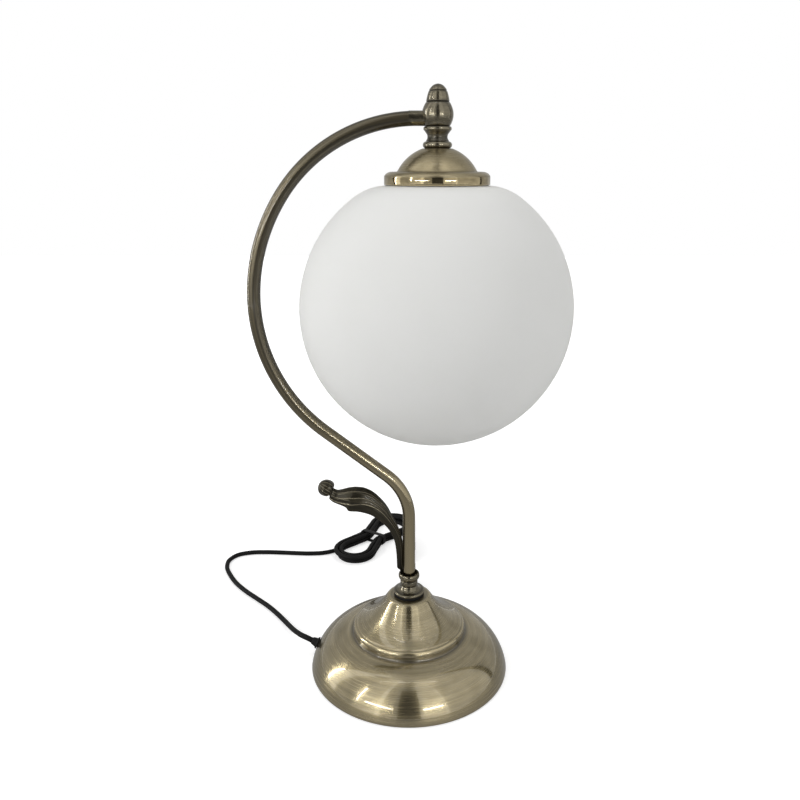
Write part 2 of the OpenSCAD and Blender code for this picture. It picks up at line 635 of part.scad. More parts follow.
// Lead inside the lamp: from the bush under the weight, up the tube and down to the holder
lead_z = felt_t + lead_r + 0.6;
base_bend = 3.4;
head_bend = 6;
exit_dir = [cos(exit_turn), sin(exit_turn), 0];
lead_inside = concat(
  [from_exit(grommet_out - 0.6), from_exit(0), from_exit(-bush_in)],
  [for (k = [0.75, 0.55, 0.34, 0.12]) k * foot_r * exit_dir + [0, 0, lead_z]],
  [for (a = [0:22.5:90]) base_bend * (1 - sin(a)) * exit_dir
    + [0, 0, lead_z + base_bend * (1 - cos(a))]],
  [for (k = [0.1, 0.34, 0.6, 0.82]) [0, 0, k * stem_top_z]],
  in_xz(arc_pts(stem_c, stem_bend_r, 0, stem_turn, 4)),
  in_xz(arc_pts(low_c, low_bend_r, low_a, mid_a, 8)),
  in_xz(arc_pts(mid_c, mid_bend_r, mid_a - 6, top_a, 3)),
  in_xz(arc_pts(top_c, top_bend_r, top_a - 6, 90, 6)),
  in_xz(arc_pts([head_x - head_bend, head_z - head_bend], head_bend, 90, 0, 5)),
  [for (z = [ball_z - 4, ring_z, holder_top - 8, block_z + block_t + rest_gap]) [head_x, 0, z]]);
module inner_lead() {
  color(black) swept(lead_inside, lead_r, 6, [0, 1, 0]);
}

// Bush at the cord's exit
module cord_grommet() {
  color(black) at_exit() revolve([[lead_r + 0.3, -bush_in], [bush_r - 0.8, -bush_in],
    [bush_r + 0.6, -2.4], [bush_r + 0.6, -1.5], [bush_r, -1.4], [bush_r, 0], [flange_r, 0.1],
    [flange_r, 1.1], [flange_r - 0.6, 1.6], [bush_r + 0.5, 1.8], [cord_d / 2 + 0.5, grommet_out],
    [lead_r + 0.3, grommet_out]]);
}

// Hank: loops laid the same way about an axis from the near fold to the far fold, drawn in at
// the waist. They wind in on the table, climb one layer along a run and wind out again.
near_fold = [-58, 186];
far_fold = [-20, 246];
hank_run = norm(far_fold - near_fold);
along = (far_fold - near_fold) / hank_run;
across = [-along[1], along[0]];
lying = cord_d / 2 + 0.05;
hank_in = 13.8;
hank_step = 5.5;
waist_in = 4.6;
waist_step = 5.9;
layer_rise = 5.1;
loop_rings = 24;
run_rings = 4;
fold_rings = 8;
climb_loop = 1 + (run_rings + fold_rings) / loop_rings;
turn_loop = climb_loop + run_rings / loop_rings / 2;
end_sweep = atan2(across[1], across[0]);
end_loop = 3 + (run_rings + fold_rings * end_sweep / 180) / loop_rings;
tie_lift = 0.8;
function eased(t) = let (c = min(max(t, 0), 1)) c * c * (3 - 2 * c);
function off_axis(t, s) =
  let (m = abs(t - turn_loop), r = hank_in + hank_step * m, w = waist_in + waist_step * m)
  r - (r - w) * (1 - cos(360 * s)) / 2;
function hank_z(t, s) = lying + tie_lift * (1 - cos(360 * s)) / 2
  + layer_rise * eased((t - climb_loop) * loop_rings / run_rings);
function on_hank(a, b, z) =
  let (q = near_fold + a * along + b * across) [q[0], q[1], z];
function hank_pt(t) =
  let (k = (t - floor(t)) * loop_rings, half = run_rings + fold_rings,
    side = k < half ? 1 : -1, j = k < half ? k : k - half,
    base = k < half ? 0 : hank_run)
  j < run_rings
    ? on_hank(base + side * hank_run * j / run_rings, side * off_axis(t, j / run_rings),
      hank_z(t, j / run_rings))
    : let (a = 180 * (j - run_rings) / fold_rings, r = off_axis(t, 0))
      on_hank(hank_run - base + side * r * sin(a), side * r * cos(a), hank_z(t, 0));
hank_start = hank_pt(0);
hank_entry = hank_start - cord_d * [along[0], along[1], 0];
hank_exit = hank_pt(end_loop) - [0, cord_d, 0];
hank_route = concat([hank_entry], [for (i = [0:floor(end_loop * loop_rings)]) hank_pt(i / loop_rings)],
  [hank_pt(end_loop), hank_exit]);
// Least gap between strands, from points four times as dense as the rings
dense = 4 * loop_rings;
gap_pts = [for (i = [0:floor(end_loop * dense)]) hank_pt(i / dense)];
apart = dense / 2;
least_gap = min([for (i = [0:len(gap_pts) - 1 - apart]) min([for (j = [i + apart:len(gap_pts) - 1])
  norm(gap_pts[i] - gap_pts[j])])]) - cord_d;
echo(least_gap = least_gap);
echo(head_x = head_x, globe_z = globe_z, pivot = [switch_x + pivot_z, switch_y + switch_l / 2, switch_w / 2]);
module cord_hank() {
  color(black) swept(hank_route, cord_d / 2, 6);
}
tie_w = 5;
tie_t = 0.6;
module tie_loop(grow, w) {
  hi = waist_in + waist_step * (turn_loop - 1 / loop_rings * run_rings / 2) + cord_d / 2 + 0.5;
  lo = waist_in + waist_step + cord_d / 2 + 0.5;
  top = tie_lift + layer_rise + cord_d + 0.3;
  c = cord_d / 2 + 0.4;
  translate([-w / 2, 0, 0]) rotate([90, 0, 90]) linear_extrude(w) {
    translate([-lo + c, tie_lift - 0.1 - grow]) square([hi + lo - 2 * c, top - tie_lift + 0.1 + 2 * grow]);
    translate([-lo - grow, tie_lift - 0.1 + c]) square([hi + lo + 2 * grow, top - tie_lift + 0.1 - 2 * c]);
    for (x = [-lo + c, hi - c], y = [tie_lift - 0.1 + c, top - c]) translate([x, y]) circle(r = c + grow);
  }
}
module cord_tie() {
  mid = near_fold + along * hank_run / 2;
  color([0.12, 0.12, 0.12]) translate([mid[0], mid[1], 0]) rotate([0, 0, atan2(along[1], along[0])])
    difference() {
      tie_loop(tie_t, tie_w);
      tie_loop(0, tie_w + 2);
    }
}

// Cord: the route's points lie on the table, apart from the hump at the bush
lead_points = [
  [-93.4, 18.2, 12.8], [-98.2, 24.6, 11.2], [-103.5, 33.5, 8.6], [-109.5, 45, 5.6],
  [-116, 56.5, 3.4], [-124.5, 69, 2.4], [-135, 81.5, lying], [-148, 94.5, lying],
  [-161.5, 108, lying], [-174, 123, lying], [-184, 139.5, lying], [-190.8, 155.5, lying],
  [-191.5, 170, lying], [-185, 181, lying], [-172.5, 186.3, lying], [-156, 187.5, lying],
  [-138, 186.6, lying], [-121, 185.2, lying], [-106, 184.6, lying], [-93, 186, lying],
  [-86, 188.6, lying]];
cord_route = concat([from_exit(grommet_out), from_exit(grommet_out + cord_d)], lead_points,
  [hank_entry - 0.7 * cord_d * [along[0], along[1], 0], hank_entry]);
module cord_lead() {
  color(black) swept(cord_route, cord_d / 2, 8);
}
switch_y = 168.5;
switch_x = -0.5;
plug_y = 139.5;
tail_points = [[3.45, 235.2, 7.75], [1.75, 230, 8.7], [0.05, 224.8, 9.7]];
tail_stub = 1.2;
tail_route = concat([hank_exit, hank_exit - [0, tail_stub, 0]], tail_points,
  [[switch_x, switch_y + switch_l + tail_stub, switch_w / 2],
   [switch_x, switch_y + switch_l, switch_w / 2]]);
module cord_tail() {
  color(black) swept(tail_route, cord_d / 2, 8);
}
end_route = [[switch_x, switch_y, switch_w / 2], [switch_x, switch_y - 4, switch_w / 2],
  [switch_x, (switch_y + plug_y) / 2, (switch_w + plug_w) / 4],
  [switch_x, plug_y + 4, plug_w / 2], [switch_x, plug_y, plug_w / 2]];
module cord_end() {
  color(black) swept(end_route, cord_d / 2, 8);
}

// Switch in the cord, made lying flat with its length along x and then stood on its side
wall = 1.6;
pivot_z = 2.6;
pin_r = 1.2;
rocker_l = 13.6;
rocker_w = 9.6;
rocker_top = switch_t / 2 + 0.9;
window_l = rocker_l * cos(rocker_tilt) + 2 * (rocker_top - pivot_z) * sin(rocker_tilt) + 2 * rest_gap;
window_w = rocker_w + 0.8;
screw_x = switch_l / 2 - 7;
module at_switch() {
  translate([switch_x, switch_y + switch_l / 2, switch_w / 2]) rotate([90, 0, 90]) children();
}
module switch_block(l, w, t, c) {
  intersection() {
    translate([0, 0, -t / 2]) linear_extrude(t) polygon([[-l / 2, -w / 2 + c], [-l / 2 + c, -w / 2],
      [l / 2 - c, -w / 2], [l / 2, -w / 2 + c], [l / 2, w / 2 - c], [l / 2 - c, w / 2],
      [-l / 2 + c, w / 2], [-l / 2, w / 2 - c]]);
    translate([0, w / 2, 0]) rotate([90, 0, 0]) linear_extrude(w) polygon([[-l / 2, -t / 2 + 3],
      [-l / 2 + 5, -t / 2], [l / 2 - 5, -t / 2], [l / 2, -t / 2 + 3], [l / 2, t / 2 - 3],
      [l / 2 - 5, t / 2], [-l / 2 + 5, t / 2], [-l / 2, t / 2 - 3]]);
  }
}
module half_case(up) {
  intersection() {
    difference() {
      switch_block(switch_l, switch_w, switch_t, 5);
      cube([2 * screw_x - 9, switch_w - 2 * wall, switch_t - 2 * wall], center = true);
    }
    translate([0, 0, up * switch_t / 2]) cube([switch_l + 2, switch_w + 2, switch_t], center = true);
  }
}
module switch_base() {
  color(black) at_switch() difference() {
    half_case(-1);
    for (x = [-screw_x, screw_x]) translate([x, 0, 0]) {
      translate([0, 0, -switch_t]) cylinder(r = 1.5, h = 2 * switch_t);
      translate([0, 0, -switch_t / 2 - 1]) cylinder(r = 3, h = 3);
    }
  }
}
module switch_cover() {
  color(black) at_switch() difference() {
    union() {
      difference() {
        half_case(1);
        cube([window_l, window_w, switch_t + 2], center = true);
      }
      for (s = [-1, 1]) translate([0, s * (window_w / 2 + 0.9), (pivot_z - 1.8 + switch_t / 2 - 1) / 2])
        cube([5, 1.8, switch_t / 2 - 1 - pivot_z + 1.8], center = true);
    }
    translate([0, switch_w / 2 - wall - 1, pivot_z]) rotate([90, 0, 0])
      cylinder(r = pin_r + pin_fit, h = switch_w - 2 * wall - 2);
    for (x = [-screw_x, screw_x]) translate([x, 0, -1]) cylinder(r = 1.3, h = 5);
  }
}
module switch_rocker() {
  h = rocker_l / 2;
  top = rocker_top;
  color(black) at_switch() {
    translate([0, rocker_w / 2, 0]) rotate([90, 0, 0]) linear_extrude(rocker_w) polygon([
      [-h, pivot_z + 0.3], [-2.2, pivot_z - 2], [2.2, pivot_z - 2], [h, pivot_z + 0.3],
      [h, top], [h / 2, top - 0.6], [0, top - 0.8], [-h / 2, top - 0.6], [-h, top]]);
    translate([0, window_w / 2 + 1.6, pivot_z]) rotate([90, 0, 0])
      cylinder(r = pin_r, h = window_w + 3.2);
  }
}
module switch_screws() {
  color(steel) at_switch() for (x = [-screw_x, screw_x]) translate([x, 0, 0]) {
    translate([0, 0, -switch_t / 2 + 2]) cylinder(r = 1.2, h = switch_t / 2 + 1.8);
    difference() {
      translate([0, 0, -switch_t / 2 + 0.4]) cylinder(r = 2.7, h = 1.6);
      translate([-3, -0.3, -switch_t / 2 - 0.6]) cube([6, 0.6, 1.8]);
    }
  }
}

// Flat two-pin plug on its edge, with its cord end at y = plug_y and its pins toward the foot
relief_l = 16;
plug_l = 22;
pin_l = 19;
pin_gap = 18.6;
plug_pin_r = 2;
module at_plug() {
  translate([switch_x, plug_y, plug_w / 2]) rotate([90, 0, 90]) children();
}
module plug_body() {
  w = plug_w / 2;
  t = plug_t / 2;
  color(black) at_plug() {
    rotate([0, -90, 0]) cylinder(r1 = cord_d / 2 + 0.8, r2 = 5, h = relief_l + 1);
    intersection() {
      translate([-relief_l, 0, 0]) rotate([90, 0, -90]) linear_extrude(plug_l) polygon([[-w, 0],
        [-w + 1.2, -2.4], [-w + 7, -t], [w - 7, -t], [w - 1.2, -2.4], [w, 0], [w - 1.2, 2.4],
        [w - 7, t], [-w + 7, t], [-w + 1.2, 2.4]]);
      translate([-relief_l, 0, -plug_t]) linear_extrude(2 * plug_t) polygon([[0, -6], [0, 6],
        [-4, 8.5], [-9, w - 3.4], [-12, w - 1], [-15, w], [-plug_l, w], [-plug_l, -w],
        [-15, -w], [-12, -w + 1], [-9, -w + 3.4], [-4, -8.5]]);
    }
  }
}
module plug_pins() {
  color(steel) at_plug() for (s = [-1, 1])
    translate([-relief_l - plug_l, s * pin_gap / 2, 0]) rotate([0, -90, 0]) {
      cylinder(r = plug_pin_r - 0.1, h = pin_l - 1);
      translate([0, 0, pin_l - 1]) cylinder(r1 = plug_pin_r - 0.1, r2 = plug_pin_r - 0.9, h = 1);
    }
}

base_shell();
base_weight();
base_pad();
base_washer();
base_nut();
base_nipple();
cord_grommet();
black_washer();
collar();
arm_tube();
leaf();
inner_lead();
knuckle();
finial();
neck();
neck_ring();
head_nipple();
shade_cap();
gallery();
cap_nut();
globe_gasket();
holder_cap();
holder_sleeve();
contact_block();
centre_contact();
thread_shell();
bulb_cap();
bulb_glass();
globe();
cord_lead();
cord_hank();
cord_tie();
cord_tail();
cord_end();
switch_base();
switch_cover();
switch_rocker();
switch_screws();
plug_body();
plug_pins();
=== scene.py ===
import bpy
import json
import math
import numpy as np
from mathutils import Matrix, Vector

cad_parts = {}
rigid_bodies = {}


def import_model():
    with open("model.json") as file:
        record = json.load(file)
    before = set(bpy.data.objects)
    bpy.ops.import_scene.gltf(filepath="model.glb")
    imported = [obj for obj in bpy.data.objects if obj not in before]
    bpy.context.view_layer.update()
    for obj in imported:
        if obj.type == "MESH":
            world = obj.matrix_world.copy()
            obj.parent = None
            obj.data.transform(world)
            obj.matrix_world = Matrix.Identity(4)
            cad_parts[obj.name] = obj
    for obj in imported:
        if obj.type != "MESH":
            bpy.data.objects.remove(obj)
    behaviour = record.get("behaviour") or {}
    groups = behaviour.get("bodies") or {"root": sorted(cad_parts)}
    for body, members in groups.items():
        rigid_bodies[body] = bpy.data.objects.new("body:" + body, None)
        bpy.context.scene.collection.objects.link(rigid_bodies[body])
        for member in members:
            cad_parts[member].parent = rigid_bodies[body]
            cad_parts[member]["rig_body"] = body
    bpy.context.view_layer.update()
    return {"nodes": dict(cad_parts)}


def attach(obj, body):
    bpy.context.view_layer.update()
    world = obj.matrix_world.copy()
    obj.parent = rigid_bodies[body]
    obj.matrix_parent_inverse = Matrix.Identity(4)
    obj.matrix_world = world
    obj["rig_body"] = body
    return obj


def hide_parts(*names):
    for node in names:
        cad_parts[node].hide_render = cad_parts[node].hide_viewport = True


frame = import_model()
nodes = frame["nodes"]
mm = 0.001
headX = 19.7258   # the head, cap and globe stand on this axis
print("frame loaded,", len(nodes), "nodes")

# camera
cameraView = {"place": (0, -0.559, 0.406), "pitchDown": 17.14, "focalPixels": 764,
              "imageWidth": 800, "sidewaysPixels": 9, "sensor": 36}


def makeCamera():
    bpy.ops.object.camera_add(location=cameraView["place"],
                              rotation=(math.radians(90 - cameraView["pitchDown"]), 0, 0))
    camera = bpy.context.object
    camera.name = "photoCamera"
    camera.data.sensor_width = cameraView["sensor"]
    camera.data.lens = cameraView["sensor"] * cameraView["focalPixels"] / cameraView["imageWidth"]
    camera.data.shift_x = -cameraView["sidewaysPixels"] / cameraView["imageWidth"]
    camera.data.clip_start = 0.01
    bpy.context.scene.camera = camera


makeCamera()
print("camera ready")


# small tools
def deselectAll():
    if bpy.context.object and bpy.context.object.mode != "OBJECT":
        bpy.ops.object.mode_set(mode="OBJECT")
    bpy.ops.object.select_all(action="DESELECT")


def pickOnly(piece):
    deselectAll()
    piece.select_set(True)
    bpy.context.view_layer.objects.active = piece


def applyModifier(piece, kind, **settings):
    pickOnly(piece)
    modifier = piece.modifiers.new(kind.title(), kind)
    for key, value in settings.items():
        setattr(modifier, key, value)
    bpy.ops.object.modifier_apply(modifier=modifier.name)


def smoothByAngle(piece, degrees=35):
    pickOnly(piece)
    bpy.ops.object.shade_smooth_by_angle(angle=math.radians(degrees))


def keepInMesh(piece):
    pickOnly(piece)
    bpy.ops.object.transform_apply(location=True, rotation=True, scale=True)


def openMesh():
    bpy.ops.object.mode_set(mode="EDIT")
    bpy.ops.mesh.select_all(action="SELECT")


def closeFacingOut():
    bpy.ops.mesh.select_all(action="SELECT")
    bpy.ops.mesh.normals_make_consistent(inside=False)
    bpy.ops.object.mode_set(mode="OBJECT")


def combine(piece, tool, operation):
    applyModifier(piece, "BOOLEAN", object=tool, operation=operation, solver="FAST")
    bpy.data.objects.remove(tool)


def corners(piece):
    co = np.zeros(len(piece.data.vertices) * 3, np.float32)
    piece.data.vertices.foreach_get("co", co)
    return co.reshape(-1, 3)


def setMark(piece, name, values, domain="POINT"):
    mark = piece.data.attributes.new(name, "FLOAT", domain)
    mark.data.foreach_set("value", np.asarray(values, np.float32))


def setGrainPlace(piece, x, y, along):
    place = np.stack([x, y, along], axis=1).astype(np.float32)
    mark = piece.data.attributes.new("grainPlace", "FLOAT_VECTOR", "POINT")
    mark.data.foreach_set("vector", place.ravel())


def arcPoints(centre, radius, fromAngle, toAngle, count):
    return [(centre[0] + radius * math.cos(math.radians(fromAngle + (toAngle - fromAngle) * i / count)),
             centre[1] + radius * math.sin(math.radians(fromAngle + (toAngle - fromAngle) * i / count)))
            for i in range(count + 1)]


def saggedPoints(start, end, sag, count):
    length = math.dist(start, end)
    side = (-(end[1] - start[1]) / length, (end[0] - start[0]) / length)
    return [(start[0] + (end[0] - start[0]) * k + 4 * sag * k * (1 - k) * side[0],
             start[1] + (end[1] - start[1]) * k + 4 * sag * k * (1 - k) * side[1])
            for k in (i / count for i in range(count + 1))]


def pointsFrom(radius, height, steps):
    return [(radius + dr, height + dz) for dr, dz in steps]


# cord
cordRoute = {
    "diameter": 4.6, "lying": 2.35, "domeCentre": (43.0173, -7), "domeRadius": 40,
    "exitTurn": 171, "exitHeight": 9, "bushOut": 6,
    "lead": [(-93.4, 18.2, 12.8), (-98.2, 24.6, 11.2), (-103.5, 33.5, 8.6), (-109.5, 45, 5.6),
             (-116, 56.5, 3.4), (-124.5, 69, 2.4), (-135, 81.5, 2.35), (-148, 94.5, 2.35),
             (-161.5, 108, 2.35), (-174, 123, 2.35), (-184, 139.5, 2.35), (-190.8, 155.5, 2.35),
             (-191.5, 170, 2.35), (-185, 181, 2.35), (-172.5, 186.3, 2.35), (-156, 187.5, 2.35),
             (-138, 186.6, 2.35), (-121, 185.2, 2.35), (-106, 184.6, 2.35), (-93, 186, 2.35),
             (-86, 188.6, 2.35)],
    "tail": [(3.45, 235.2, 7.75), (1.75, 230, 8.7), (0.05, 224.8, 9.7)], "tailStub": 1.2,
    "switchPlace": (-0.5, 168.5, 10), "switchLength": 50, "plugPlace": (-0.5, 139.5, 17.65),
    "plugLead": 4, "earlyShare": 0.7,
}
hank = {"nearFold": (-58, 186), "farFold": (-20, 246), "inner": 13.8, "step": 5.5,
        "waistInner": 4.6, "waistStep": 5.9, "layerRise": 5.1, "rings": 24, "runRings": 4,
        "foldRings": 8, "tieLift": 0.8}


def exitRise():
    return math.asin((cordRoute["exitHeight"] - cordRoute["domeCentre"][1]) / cordRoute["domeRadius"])


def exitSlant():
    return (0, math.pi / 2 - exitRise(), math.radians(cordRoute["exitTurn"]))


def fromExit(out):
    rise = exitRise()
    reach = cordRoute["domeCentre"][0] + (cordRoute["domeRadius"] + out) * math.cos(rise)
    turn = math.radians(cordRoute["exitTurn"])
    return (reach * math.cos(turn), reach * math.sin(turn), cordRoute["exitHeight"] + out * math.sin(rise))


hankRun = math.dist(hank["nearFold"], hank["farFold"])
hankAlong = tuple((b - a) / hankRun for a, b in zip(hank["nearFold"], hank["farFold"]))
hankAcross = (-hankAlong[1], hankAlong[0])
climbLoop = 1 + (hank["runRings"] + hank["foldRings"]) / hank["rings"]
turnLoop = climbLoop + hank["runRings"] / hank["rings"] / 2
endSweep = math.degrees(math.atan2(hankAcross[1], hankAcross[0]))
endLoop = 3 + (hank["runRings"] + hank["foldRings"] * endSweep / 180) / hank["rings"]


def offAxis(loop, share):
    turns = abs(loop - turnLoop)
    wide = hank["inner"] + hank["step"] * turns
    waist = hank["waistInner"] + hank["waistStep"] * turns
    return wide - (wide - waist) * (1 - math.cos(math.tau * share)) / 2


def hankHeight(loop, share):
    climb = min(max((loop - climbLoop) * hank["rings"] / hank["runRings"], 0), 1)
    return (cordRoute["lying"] + hank["tieLift"] * (1 - math.cos(math.tau * share)) / 2
            + hank["layerRise"] * climb * climb * (3 - 2 * climb))


def onHank(a, b, z):
    return (hank["nearFold"][0] + a * hankAlong[0] + b * hankAcross[0],
            hank["nearFold"][1] + a * hankAlong[1] + b * hankAcross[1], z)


def hankPoint(loop):
    k = (loop - math.floor(loop)) * hank["rings"]
    half = hank["runRings"] + hank["foldRings"]
    side, j, base = (1, k, 0) if k < half else (-1, k - half, hankRun)
    if j < hank["runRings"]:
        share = j / hank["runRings"]
        return onHank(base + side * hankRun * share, side * offAxis(loop, share), hankHeight(loop, share))
    angle = math.pi * (j - hank["runRings"]) / hank["foldRings"]
    reach = offAxis(loop, 0)
    return onHank(hankRun - base + side * reach * math.sin(angle), side * reach * math.cos(angle),
                  hankHeight(loop, 0))


def smoothPath(points, spacing=1.6):
    pts = [Vector(p) for p in points]
    gaps = [max((b - a).length, 1e-6) for a, b in zip(pts, pts[1:])]
    slopes = []
    for i in range(len(pts)):
        if i == 0:
            slopes.append((pts[1] - pts[0]) / gaps[0])
        elif i == len(pts) - 1:
            slopes.append((pts[-1] - pts[-2]) / gaps[-1])
        else:
            d0, d1 = gaps[i - 1], gaps[i]
            slopes.append(((pts[i] - pts[i - 1]) / d0 * d1 + (pts[i + 1] - pts[i]) / d1 * d0) / (d0 + d1))
    path = []
    for i, gap in enumerate(gaps):
        count = max(1, round(gap / spacing))
        for j in range(count):
            t = j / count
            path.append((2 * t ** 3 - 3 * t ** 2 + 1) * pts[i] + (t ** 3 - 2 * t ** 2 + t) * gap * slopes[i]
                        + (-2 * t ** 3 + 3 * t ** 2) * pts[i + 1] + (t ** 3 - t ** 2) * gap * slopes[i + 1])
    return path + [pts[-1]]


def pathLength(path):
    return sum((b - a).length for a, b in zip(path, path[1:])) * mm


def makeCord(name, path):
    line = bpy.data.curves.new(name, "CURVE")
    line.dimensions = "3D"
    line.bevel_depth = 1.0   # times each point's own radius
    line.bevel_resolution = 4
    line.use_fill_caps = True
    spline = line.splines.new("POLY")
    spline.points.add(len(path) - 1)
    for point, place in zip(spline.points, path):
        point.co = (place[0] * mm, place[1] * mm, place[2] * mm, 1)
        point.radius = cordRoute["diameter"] / 2 * mm
    spline.use_smooth = True
    cord = bpy.data.objects.new(name, line)
    bpy.context.scene.collection.objects.link(cord)
    return cord


def makeCords():
    d = cordRoute["diameter"]
    start = hankPoint(0)
    entry = (start[0] - d * hankAlong[0], start[1] - d * hankAlong[1], start[2])
    early = tuple(v - cordRoute["earlyShare"] * d * way for v, way in zip(entry, (*hankAlong, 0)))
    end = hankPoint(endLoop)
    leave = (end[0], end[1] - d, end[2])
    rings = [hankPoint(i / hank["rings"]) for i in range(int(endLoop * hank["rings"]) + 1)]
    sx, sy, sz = cordRoute["switchPlace"]
    px, py, pz = cordRoute["plugPlace"]
    far = sy + cordRoute["switchLength"]
    mainPath = smoothPath([fromExit(cordRoute["bushOut"]), fromExit(cordRoute["bushOut"] + d)]
                          + cordRoute["lead"] + [early, entry] + rings
                          + [end, leave, (leave[0], leave[1] - cordRoute["tailStub"], leave[2])]
                          + cordRoute["tail"] + [(sx, far + cordRoute["tailStub"], sz), (sx, far, sz)])
    lead = cordRoute["plugLead"]
    shortPath = smoothPath([(sx, sy, sz), (sx, sy - lead, sz), (sx, (sy + py) / 2, (sz + pz) / 2),
                            (px, py + lead, pz), (px, py, pz)])
    mainCord = makeCord("mainsCord", mainPath)
    shortCord = makeCord("plugCord", shortPath)
    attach(mainCord, "lamp")
    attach(shortCord, "lamp")
    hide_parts("cord_lead", "cord_hank", "cord_tail")
    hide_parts("cord_end")
    return mainCord, pathLength(mainPath), shortCord, pathLength(shortPath)


mainCord, mainLength, shortCord, shortLength = makeCords()
print("cords made, %.3f m and %.3f m" % (mainLength, shortLength))


# shared effects
def setInputs(tree, node, values):
    # each value is a number, a colour or another node's output
    for label, value in values.items():
        slot = node.inputs[label]
        if isinstance(value, (int, float, tuple)):
            slot.default_value = value
        else:
            tree.links.new(value, slot)


def addNode(tree, kind, values=None, **settings):
    node = tree.nodes.new(kind)
    for key, value in settings.items():
        setattr(node, key, value)
    setInputs(tree, node, values or {})
    return node


def mathStep(tree, operation, first, second=0, clamp=False):
    return addNode(tree, "ShaderNodeMath", {0: first, 1: second}, operation=operation,
                   use_clamp=clamp).outputs[0]


def mixColour(tree, amount, first, second, blend="MIX"):
    return addNode(tree, "ShaderNodeMix", {0: amount, 6: first, 7: second}, data_type="RGBA",
                   blend_type=blend).outputs[2]


def newGroup(name, takes, gives):
    group = bpy.data.node_groups.new(name, "ShaderNodeTree")
    for label, kind, value in takes:
        made = group.interface.new_socket(name=label, in_out="INPUT", socket_type=kind)
        if value is not None:
            made.default_value = value
    for label, kind in gives:
        group.interface.new_socket(name=label, in_out="OUTPUT", socket_type=kind)
    return group, addNode(group, "NodeGroupInput"), addNode(group, "NodeGroupOutput")


def placeGroup(tree, group, **values):
    return addNode(tree, "ShaderNodeGroup", values, node_tree=group)


def makeBrushGroup():
    # long brush marks: Place holds the direction round the piece and the way along it
    group, takes, gives = newGroup("brushMarks", [
        ("Place", "NodeSocketVector", None), ("Around", "NodeSocketFloat", 1.0),
        ("Along", "NodeSocketFloat", 900.0)],
        [("Streak", "NodeSocketFloat"), ("Band", "NodeSocketFloat")])
    around, along = takes.outputs["Around"], takes.outputs["Along"]
    spread = addNode(group, "ShaderNodeCombineXYZ", {0: around, 1: around, 2: along})
    scaled = addNode(group, "ShaderNodeVectorMath", {0: takes.outputs["Place"], 1: spread.outputs[0]},
                     operation="MULTIPLY")
    noises = {"Streak": {"Scale": 1.0, "Detail": 5.0, "Roughness": 0.7},
              "Band": {"Scale": 0.17, "Detail": 2.0}}
    for label, values in noises.items():
        noise = addNode(group, "ShaderNodeTexNoise", {"Vector": scaled.outputs[0], **values})
        stretch = addNode(group, "ShaderNodeMapRange",
                          {"Value": noise.outputs[0], "From Min": 0.3, "From Max": 0.7})
        group.links.new(stretch.outputs[0], gives.inputs[label])
    return group


ageMix = {"streak": 0.5, "band": 0.35, "cloud": 0.25, "cloudSize": 38.0, "streakInRecess": -0.35,
          "rubbed": (1.35, 1.35, 1.35, 1), "roughStreak": 0.12, "roughRecess": 0.25}


def makeAgeGroup():
    # tarnish and painted shade mixed in where each piece marks them, and raised places rubbed bright with
    # painted highlights
    group, takes, gives = newGroup("agedMetal", [
        ("Light", "NodeSocketColor", (0.5, 0.45, 0.3, 1)), ("Dark", "NodeSocketColor", (0.2, 0.18, 0.1, 1)),
        ("Tarnish", "NodeSocketColor", (0.02, 0.02, 0.015, 1)), ("Streak", "NodeSocketFloat", 0.5),
        ("Band", "NodeSocketFloat", 0.5), ("Recess", "NodeSocketFloat", 0.0),
        ("Worn", "NodeSocketFloat", 0.0), ("Place", "NodeSocketVector", None),
        ("Rough", "NodeSocketFloat", 0.28)],
        [("Colour", "NodeSocketColor"), ("Roughness", "NodeSocketFloat"), ("Height", "NodeSocketFloat")])
    taken = takes.outputs
    streak = taken["Streak"]

    def times(first, second):
        return mathStep(group, "MULTIPLY", first, second)

    def plus(first, second, clamp=False):
        return mathStep(group, "ADD", first, second, clamp)

    cloud = addNode(group, "ShaderNodeTexNoise", {
        "Vector": taken["Place"], "Scale": ageMix["cloudSize"], "Detail": 4.0})
    blend = plus(times(streak, ageMix["streak"]), times(taken["Band"], ageMix["band"]))
    blend = plus(blend, times(cloud.outputs[0], ageMix["cloud"]), clamp=True)
    base = mixColour(group, blend, taken["Dark"], taken["Light"])
    # tarnish and painted shade: the marked places, made uneven by the streaks, darken towards the dark
    # tarnish colour
    uneven = times(times(taken["Recess"], streak), ageMix["streakInRecess"])
    recess = plus(taken["Recess"], uneven, clamp=True)
    shaded = mixColour(group, recess, base, taken["Tarnish"])
    # rubbed places and painted highlights: the marked places brighten past the light colour
    rubbed = mixColour(group, 1.0, taken["Light"], ageMix["rubbed"], "MULTIPLY")
    rough = plus(taken["Rough"], times(mathStep(group, "SUBTRACT", streak, 0.5), ageMix["roughStreak"]))
    rough = plus(rough, times(recess, ageMix["roughRecess"]))
    setInputs(group, gives, {"Colour": mixColour(group, taken["Worn"], shaded, rubbed),
                             "Roughness": rough, "Height": streak})
    return group


def makeSpeckGroup():
    # fine grain and slight unevenness of moulded or cast surfaces
    group, takes, gives = newGroup("grain", [
        ("Place", "NodeSocketVector", None), ("Fine", "NodeSocketFloat", 900.0),
        ("Coarse", "NodeSocketFloat", 60.0)],
        [("Grain", "NodeSocketFloat"), ("Cloud", "NodeSocketFloat")])
    for label, detail, gain in (("Fine", 2.0, "Grain"), ("Coarse", 4.0, "Cloud")):
        noise = addNode(group, "ShaderNodeTexNoise", {
            "Vector": takes.outputs["Place"], "Scale": takes.outputs[label], "Detail": detail})
        group.links.new(noise.outputs[0], gives.inputs[gain])
    return group


# middle and half width of each vein across the leaf, from its midrib to its margin
veinLines = [(0.0, 0.035), (0.36, 0.026), (0.66, 0.022), (0.90, 0.030)]
veinMix = {"opening": 8.0, "stemWidth": 0.42, "fluteTurns": 52.0, "fluteHeight": 0.13}


